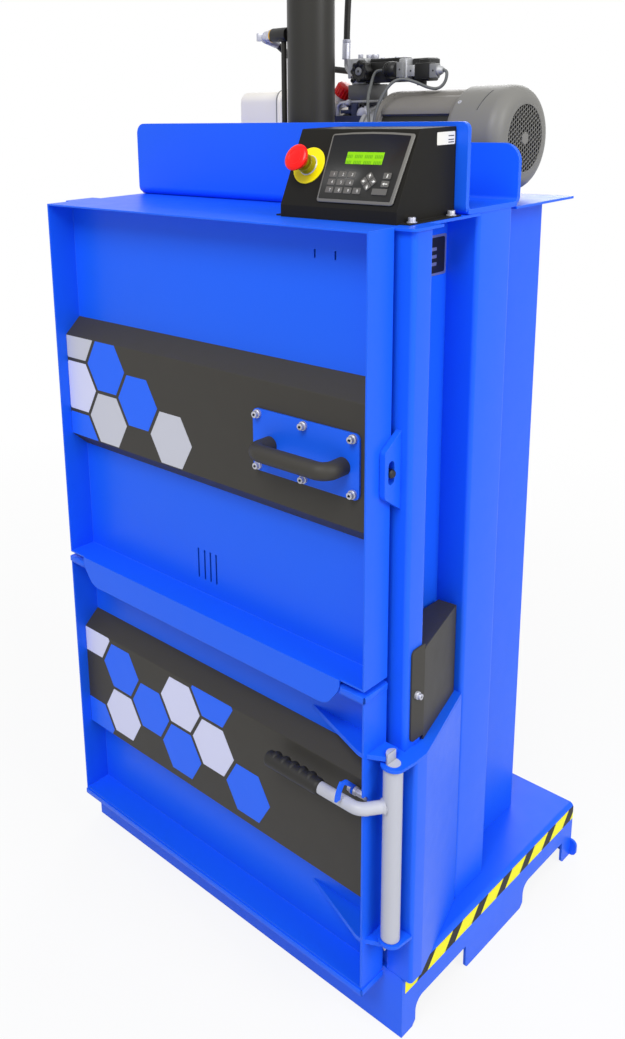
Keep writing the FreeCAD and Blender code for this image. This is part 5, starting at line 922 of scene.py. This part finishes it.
def valve_fittings():
    casting = Piece("valve_casting", "frame", "cast_aluminium", CAST, BLACK, ZINC, DARK_STEEL)
    casting.block((-23.5, 8), (476, 526), (1607, 1655), 1.6)
    casting.block((-33, -23), (476, 524), (1619, 1655), 1.6)
    casting.block((87.5, 104.5), (472, 528), (1611, 1650.5), 2.4, 3)
    casting.block((103, 119), (476, 516), (1618, 1638), 1.6)
    casting.tone = 1
    casting.block((8, 87.6), (478, 522), (1609, 1647), 2)
    casting.block((14, 84), (484, 519), (1646, 1653), 1.6)
    casting.block((104, 140), (490, 524), (1609, 1650), 3)
    casting.rod(at(114, 508, 1602), UP, 9, 9, 24, bevel=0.8)
    casting.tone = 3
    for x in (-20, -6):
        casting.socket_screw(at(x, 475.9, 1615), -ALONG_Y, 4.2, 3, 2.1)
    casting.socket_screw(at(111, 475.9, 1628), -ALONG_Y, 1.6, 0.5, 0.8)
    casting.tone = 2
    for x, y in ((40, 488), (72, 488), (40, 514), (72, 514)):
        casting.socket_screw(at(x, y, 1652.8), UP, 4, 1.6, 2)
    for x in (-0.5, 13.5):
        casting.rod(at(x, 502, 1652.4), UP, 6.6, 9.4, 6, bevel=0.6)
    casting.rod(at(-22, 502, 1654.4), UP, 5, 9, 6, bevel=0.5)
    casting.finish("valve_body")

    coils = Piece("coil_and_knob", "frame", "black_plastic", BLACK, GREY, DARK_STEEL)
    coils.block((119.05, 151.7), (476, 498), (1612.8, 1641), 1.8, 3)
    coils.block((121, 146), (486, 518), (1613, 1648), 2.2, 3)
    x, z = 8, 1631
    coils.solid(at(x, 478, z), -ALONG_Y, [(0, 15.5), (5, 15.5)], 40)
    lobed(coils, at(x, 473.6, z), -ALONG_Y, 20.4, 17.4, 18)
    coils.tone = 1
    coils.solid(at(x, 455.8, z), -ALONG_Y, [(0, 7.4), (0.5, 7.4), (0.8, 6.8)], 32)
    coils.tone = 2
    coils.solid(at(x, 455.2, z), -ALONG_Y, [(0, 2.6), (0.3, 2.6)], 6)
    coils.finish("solenoid_coils")

    plugs = Piece("cable_plugs", "frame", "grey_plastic", GREY, BLACK, DARK_STEEL, CAST)
    plugs.block((87.6, 102), (464, 471.95), (1617, 1644), 1.2)
    plugs.block((151.75, 167.4), (474, 486), (1614, 1638.5), 1.4)
    plugs.tone = 3
    plugs.turned(at(167.2, 480, 1626.5), ALONG_X, [(0, 0), (0, 9.2), (3, 9.2), (4, 8.2), (9, 6), (10.6, 4.6),
        (10.6, 2.8)], 32)
    plugs.tone = 2
    plugs.solid(at(94.8, 463.98, 1631), -ALONG_Y, [(0, 1.8), (0.3, 1.5)], 16)
    plugs.solid(at(159.5, 473.98, 1626.5), -ALONG_Y, [(0, 1.8), (0.3, 1.5)], 16)
    plugs.tone = 1
    plugs.solid(at(87.8, 467, 1631), -ALONG_X, [(0, 12.5), (3, 14.6), (8, 15.2), (13, 15.2), (13, 13.4),
        (15, 13.4), (15, 15), (17.4, 15), (17.4, 13.2), (19.4, 13.2), (19.4, 14.6), (21.6, 14.2), (21.6, 12),
        (24, 11.4), (29.5, 6.4), (31, 4.4)], 28)
    plugs.finish("cable_connectors")


def lobed(piece, start, heading, radius, waist, depth):
    """A hand knob with eight lobes and a domed face."""
    part = bmesh.new()
    outline = []
    for number in range(64):
        angle = 2 * math.pi * number / 64
        swing = math.tanh(2.2 * math.cos(8 * angle)) / math.tanh(2.2)
        reach = (radius + waist) / 2 + (radius - waist) / 2 * swing
        outline.append(part.verts.new((reach * math.cos(angle) * MM, reach * math.sin(angle) * MM, 0)))
    part.faces.new(outline)
    face = part.faces[:]
    for step, scale in ((depth - 3, 1), (1.6, 0.965), (0.9, 0.92), (0.5, 0.62), (-0.4, 0.98), (-0.6, 0.72)):
        grown = grow(part, face, (0, 0, step * MM))
        face = of_kind(BMFace, grown)
        bmesh.ops.scale(part, vec=(scale, scale, 1), verts=of_kind(BMVert, grown))
    bmesh.ops.transform(part, matrix=laid(start, heading), verts=part.verts)
    piece.take(part)


# ---- power pack ---------------------------------------------------------

PACK = (500, 1508)
TANK_HALF = 90
TANK_RINGS = [(0, 0, 20, -257, -85, 3.5), (0, 3, 21, -160, -150, 1.6), (1, 3.5, 21, -156.2, -153.4, 0),
              (0, 1.2, 20, -100, -90, 1.2)]     # tone, how far out, corner, left, right, bevel


def pack_fittings():
    y, z = PACK
    tank = Piece("moulded_tank", "frame", "tank_plastic", TANK, GREY)
    low, high = 1419, 1599
    for tone, out, corner, left, right, bevel in TANK_RINGS:
        tank.tone = tone
        outline = oblong((y - TANK_HALF - out, y + TANK_HALF + out), (low - out, high + out), corner)
        tank.sheet("x", outline, left, right, bevel=bevel)
    heading = Vector((0.6, 0, 0.8))
    mouth = at(-58.5, 500, 1597)
    tank.rod(mouth - heading * 0.056, heading, 12.9, 56, 40)
    tank.turned(mouth - heading * 0.030, heading, [(0, 12), (0, 15.5), (1, 16.2), (5, 16.2), (6, 15.5),
        (6, 12)], 40)
    for left in (-244, -139):
        tank.block((left, left + 30), (y - 70, y + 70), (1405, 1421), 1.5)
    tank.finish("oil_tank")

    cap = Piece("ribbed_cap", "cap", "red_plastic", RED)
    cap.turned(mouth - heading * 0.011, heading, [(0, 13.4), (0, 17.6), (2, 18), (18, 18), (21, 16.6),
        (22, 14), (22, 0), (12.4, 0), (12.4, 13.4), (0, 13.4)], 40)
    for number in range(20):
        spin = laid(mouth - heading * 0.011, heading) @ Matrix.Rotation(2 * math.pi * number / 20, 4, "Z")
        cap.block((17.2, 19), (-1.3, 1.3), (1.2, 18.6), 0.5, 1, place=spin)
    cap.finish("filler_cap")

    shield = Piece("drive_shield", "frame", "cast_aluminium", CAST, ZINC)
    shield.solid(at(15, y, z), ALONG_X, [(0, 59), (1, 60), (9, 60), (10, 56), (30, 56)], 96)
    shield.tone = 1
    for number in range(4):
        spin = math.radians(45 + 90 * number)
        shield.rod(at(13.5, y + 52 * math.cos(spin), z + 52 * math.sin(spin)), ALONG_X, 5.6, 4, 6, bevel=0.5)
    shield.finish("end_shield")

    motor_casing()
    fan_cowl()
    pump_fittings()


PAD_FOOT = 74           # radius inside the black core, whose black is painted shade in the grooves
PAD_START = 80.2
PAD_LENGTH = 146.4
PAD_DROPS = (3.4, 0.4, 0, 0, 0, 0, 0, 0.4, 3.4)     # off the pad's height across its width
MOTOR_PADS = [(90, 23.5, 84.4), (49, 16.5, 85.6), (131, 16.5, 85.6), (0, 9, 85), (180, 9, 85),
    (-49, 16.5, 85.6), (-131, 16.5, 85.6), (-90, 23.5, 84.4)]


def motor_casing():
    """The stator housing: broad raised flats between grooves darkened with painted shade, a smooth rim before
    them, on its foot.
    """
    y, z = PACK
    motor = Piece("motor_casing", "frame", "cast_aluminium", MOTOR_GREY, BLACK)
    motor.solid(at(45, y, z), ALONG_X, [(0, 58), (10, 59), (17, 64), (20, 78), (21, 82), (22.4, 84),
        (33, 84.6), (34, 84), (35.5, 79)], 96)
    motor.solid(at(226, y, z), ALONG_X, [(0, 84), (1, 86), (6, 87.4), (10, 87.4)], 96)
    # a black core shows between the flats: painted shade in the grooves
    motor.tone = 1
    motor.rod(at(80, y, z), ALONG_X, 76.5, 147, 96)
    motor.tone = 0
    for middle, half, height in MOTOR_PADS:
        corners = [(middle - half, PAD_FOOT)]
        for step, drop in enumerate(PAD_DROPS):
            corners.append((middle + half * (step - 4) / 4 * 0.985, height - drop))
        corners.append((middle + half, PAD_FOOT))
        part = bmesh.new()
        rim = []
        for angle, reach in corners:
            turn = math.radians(angle)
            rim.append(part.verts.new(at(PAD_START, y + reach * math.cos(turn), z + reach * math.sin(turn))))
        part.faces.new(rim)
        grow(part, part.faces[:], at(PAD_LENGTH, 0, 0))
        motor.take(part)
    motor.block((61, 198), (y - 62, y + 62), (1405, 1414), 1.5)
    for side in (y - 52, y + 40):
        motor.block((84, 192), (side, side + 12), (1413, 1450), 1)
    motor.finish("motor_body")


def fan_cowl():
    """The pressed cowl, its end open through a honeycomb of holes round the hub."""
    y, z = PACK
    cowl = Piece("fan_cowl", "frame", "fan_cowl", COWL_GREY, ZINC, DARK_STEEL)
    wall, start, end, radius, bend = 2, 233, 331, 90, 25
    depth = end - start
    outside = [(0, radius - 0.4), (0.6, radius), (depth - bend, radius)]
    inside = [(depth - bend, radius - wall), (0, radius - wall), (0, radius - 0.4)]
    for step in range(1, 10):
        turn = math.radians(10 * step)
        outside.append((depth - bend + bend * math.sin(turn), radius - bend + bend * math.cos(turn)))
        inside.insert(0, (depth - bend + (bend - wall) * math.sin(turn),
            radius - bend + (bend - wall) * math.cos(turn)))
    profile = outside + [(depth, 57), (depth - wall, 57)] + inside
    cowl.turned(at(start, y, z), ALONG_X, profile, 96)
    cowl.solid(at(end - wall, y, z), ALONG_X, [(0, 11), (wall, 11)], 40)
    grille(cowl, end - wall, wall, 58, 10.4)
    cowl.tone = 1
    for number in range(4):
        spin = math.radians(45 + 90 * number)
        out = Vector((0, math.cos(spin), math.sin(spin)))
        cowl.socket_screw(at(start + 7, y, z) + out * 0.0896, out, 3.6, 0.4, 1.6)
    cowl.tone = 2
    route = []
    for step in range(7):
        turn = math.radians(146 - 5 * step)
        route.append((281 + 1.4 * step, y + (radius + 0.1) * math.cos(turn),
            z + (radius + 0.1) * math.sin(turn)))
    cowl.hose(route, 0.8, 6)
    cowl.finish("fan_cover")


def pump_fittings():
    """What the valve stands on: its mounting block, and the small pipework on the pump below."""
    mount = Piece("valve_mount", "frame", "cast_aluminium", SUB_PLATE, CAST)
    mount.block((-27, 22), (470, 530), (1578, 1607), 1)
    mount.tone = 1
    mount.block((-26, 26), (468, 528), (1573.6, 1578.2), 0.8)
    mount.finish("sub_plate")

    small = Piece("pump_pipework", "frame", "bright_steel", ZINC, DARK_STEEL, SLATE, BLACK)
    small.bent_bar([at(-50, 468, 1510), at(-50, 468, 1574), at(-22, 468, 1574)], [12], 3.6, 24)
    small.rod(at(-50, 468, 1520), UP, 6.4, 9, 6, bevel=0.5)
    small.rod(at(-28, 468, 1574), ALONG_X, 6.2, 8, 6, bevel=0.5)
    small.solid(at(-34, 470, 1566), UP, [(0, 7.4), (3, 7.4), (3, 5.6), (8, 5.6)], 24)
    small.solid(at(13, 471, 1553), -ALONG_Y, [(0, 14), (2, 15), (5, 15), (6, 12), (10, 12), (11, 10)], 36)
    small.tone = 1
    small.socket_screw(at(9, 471, 1568), -ALONG_Y, 6.4, 9, 3.2)
    small.tone = 2
    small.block((-15, -2), (464, 471), (1520, 1573), 0.8)
    small.block((-42, -14), (465, 471), (1554, 1561), 0.8)
    small.tone = 3
    small.solid(at(-29, 471, 1541), -ALONG_Y, [(0, 13), (5, 13), (7, 11), (7, 5), (5, 4)], 32)
    small.finish()


HOLE_SIZE = 4.6     # from a hole's middle to its corner, before the web is taken off
HOLE_WEB = 0.62


def grille(cowl, level, wall, reach, hub):
    """Six-sided holes side by side, the metal left between them as thin webs."""
    y, z = PACK
    part = bmesh.new()
    size = HOLE_SIZE
    for column in range(-9, 10):
        for row in range(-9, 10):
            u = column * size * 1.5
            v = (row + (column % 2) / 2) * size * math.sqrt(3)
            if hub + size * 0.5 < math.hypot(u, v) < reach - size * 0.2:
                cell = [part.verts.new(at(level, y + u + size * math.cos(a), z + v + size * math.sin(a)))
                    for a in (math.pi / 3 * i for i in range(6))]
                part.faces.new(cell)
    bmesh.ops.remove_doubles(part, verts=part.verts, dist=1e-5)
    holes = part.faces[:]
    bmesh.ops.inset_individual(part, faces=holes, thickness=HOLE_WEB * MM, depth=0)
    bmesh.ops.delete(part, geom=holes, context="FACES_ONLY")
    grow(part, part.faces[:], at(wall, 0, 0))
    cowl.take(part)


# ---- room, light and camera ---------------------------------------------

ROOM_LIGHT = 0.43
FLOOR_NEAR = 0.88       # how far the floor by the machine is drawn to pure white
FLOOR_GAIN = 0.12       # and what it gains further out
FLOOR_SPREAD = 0.1      # the share of that gained per square metre round the middle
PHOTO_SIZE = (625, 1039)
PHOTO_FOCUS = 1011.24   # in the photograph's pixels, as is the next
PHOTO_CENTRE = (202.66, 358.54)
PHOTO_EYE = (1220.6, -1127.4, 1592.25)
PHOTO_ANGLES = (46.378, 14.454, -1.845)     # azimuth, elevation and roll


def room():
    """A plain pale floor with a faint shadow, and even light all round, both seen as white."""
    part = bmesh.new()
    bmesh.ops.create_grid(part, x_segments=1, y_segments=1, size=30,
        matrix=Matrix.Translation((0, 0, -0.0006)))
    mesh = bpy.data.meshes.new("floor")
    part.to_mesh(mesh)
    part.free()
    floor = shown_object("floor", mesh)
    finish = Finish("pale_floor")
    mesh.materials.append(finish.material)
    finish.set(Base_Color=(0.8, 0.8, 0.8, 1), Roughness=0.9, Specular_IOR_Level=0.0)
    seen = direct_sight(finish)
    glow = finish.node("ShaderNodeEmission", {}, {"Color": (1, 1, 1, 1), "Strength": 1.0})
    body = Value(finish, finish.shader.outputs[0])
    x, y, _ = finish.axes()
    far = ((x * x + y * y) * FLOOR_SPREAD).limited()
    mixed = finish.node("ShaderNodeMixShader", {}, [seen * (far * FLOOR_GAIN + FLOOR_NEAR), body, glow])
    finish.feed(finish.tree.nodes["Material Output"].inputs["Surface"], mixed)

    world = bpy.data.worlds.new("studio")
    bpy.context.scene.world = world
    world.use_nodes = True
    air = Finish.__new__(Finish)
    air.tree = world.node_tree
    plain = air.tree.nodes["Background"]
    plain.inputs["Color"].default_value = (1, 1, 1, 1)
    plain.inputs["Strength"].default_value = ROOM_LIGHT
    white = air.node("ShaderNodeBackground", {}, {"Color": (1, 1, 1, 1), "Strength": 1.0})
    both = air.node("ShaderNodeMixShader", {}, [direct_sight(air), Value(air, plain.outputs[0]), white])
    air.feed(air.tree.nodes["World Output"].inputs["Surface"], both)


def direct_sight(finish):
    """1 for what the camera, a reflection or glass sees."""
    path = finish.node("ShaderNodeLightPath")
    outputs = path.socket.node.outputs
    sight = Value(finish, outputs["Is Camera Ray"]) + Value(finish, outputs["Is Glossy Ray"])
    return (sight + Value(finish, outputs["Is Transmission Ray"])).limited()


def lamp(name, place, target, size, power):
    light = bpy.data.lights.new(name, "AREA")
    light.shape = "DISK"
    light.size = size
    light.energy = power
    made = shown_object(name, light)
    made.location = place
    made.rotation_euler = (Vector(target) - Vector(place)).to_track_quat("-Z", "Y").to_euler()


def camera():
    """The photograph's view: direction, roll, focal length and the frame's shift."""
    turn, rise, roll = (math.radians(angle) for angle in PHOTO_ANGLES)
    back = Vector((math.sin(turn) * math.cos(rise), -math.cos(turn) * math.cos(rise), math.sin(rise)))
    right = (-back).cross(UP).normalized()
    up = right.cross(-back)
    across = right * math.cos(roll) + up * math.sin(roll)
    tall = up * math.cos(roll) - right * math.sin(roll)
    data = bpy.data.cameras.new("photo_view")
    made = shown_object("photo_view", data)
    basis = Matrix((across, tall, back)).transposed().to_4x4()
    made.matrix_world = Matrix.Translation(at(*PHOTO_EYE)) @ basis
    wide, high = PHOTO_SIZE
    data.sensor_width = 36
    data.lens = PHOTO_FOCUS / high * data.sensor_width
    data.shift_x = (wide / 2 - PHOTO_CENTRE[0]) / high
    data.shift_y = -(high / 2 - PHOTO_CENTRE[1]) / high
    data.clip_end = 100
    bpy.context.scene.camera = made


carry_over()
door_fittings()
hinges()
lever_fittings()
small_fittings()
desk_fittings()
press_fittings()
hoses()
cables()
valve_fittings()
pack_fittings()
room()
lamp("front_light", (0.9, -2.7, 4.3), (0.1, 0.2, 0.8), 2.2, 122)
lamp("side_light", (3.9, 0.3, 3.0), (0.2, 0.3, 0.8), 2.2, 92)
lamp("rear_fill", (-1.6, 3.6, 2.8), (0, 0.4, 0.9), 2.4, 45)
camera()

bpy.context.scene.view_settings.view_transform = "Standard"
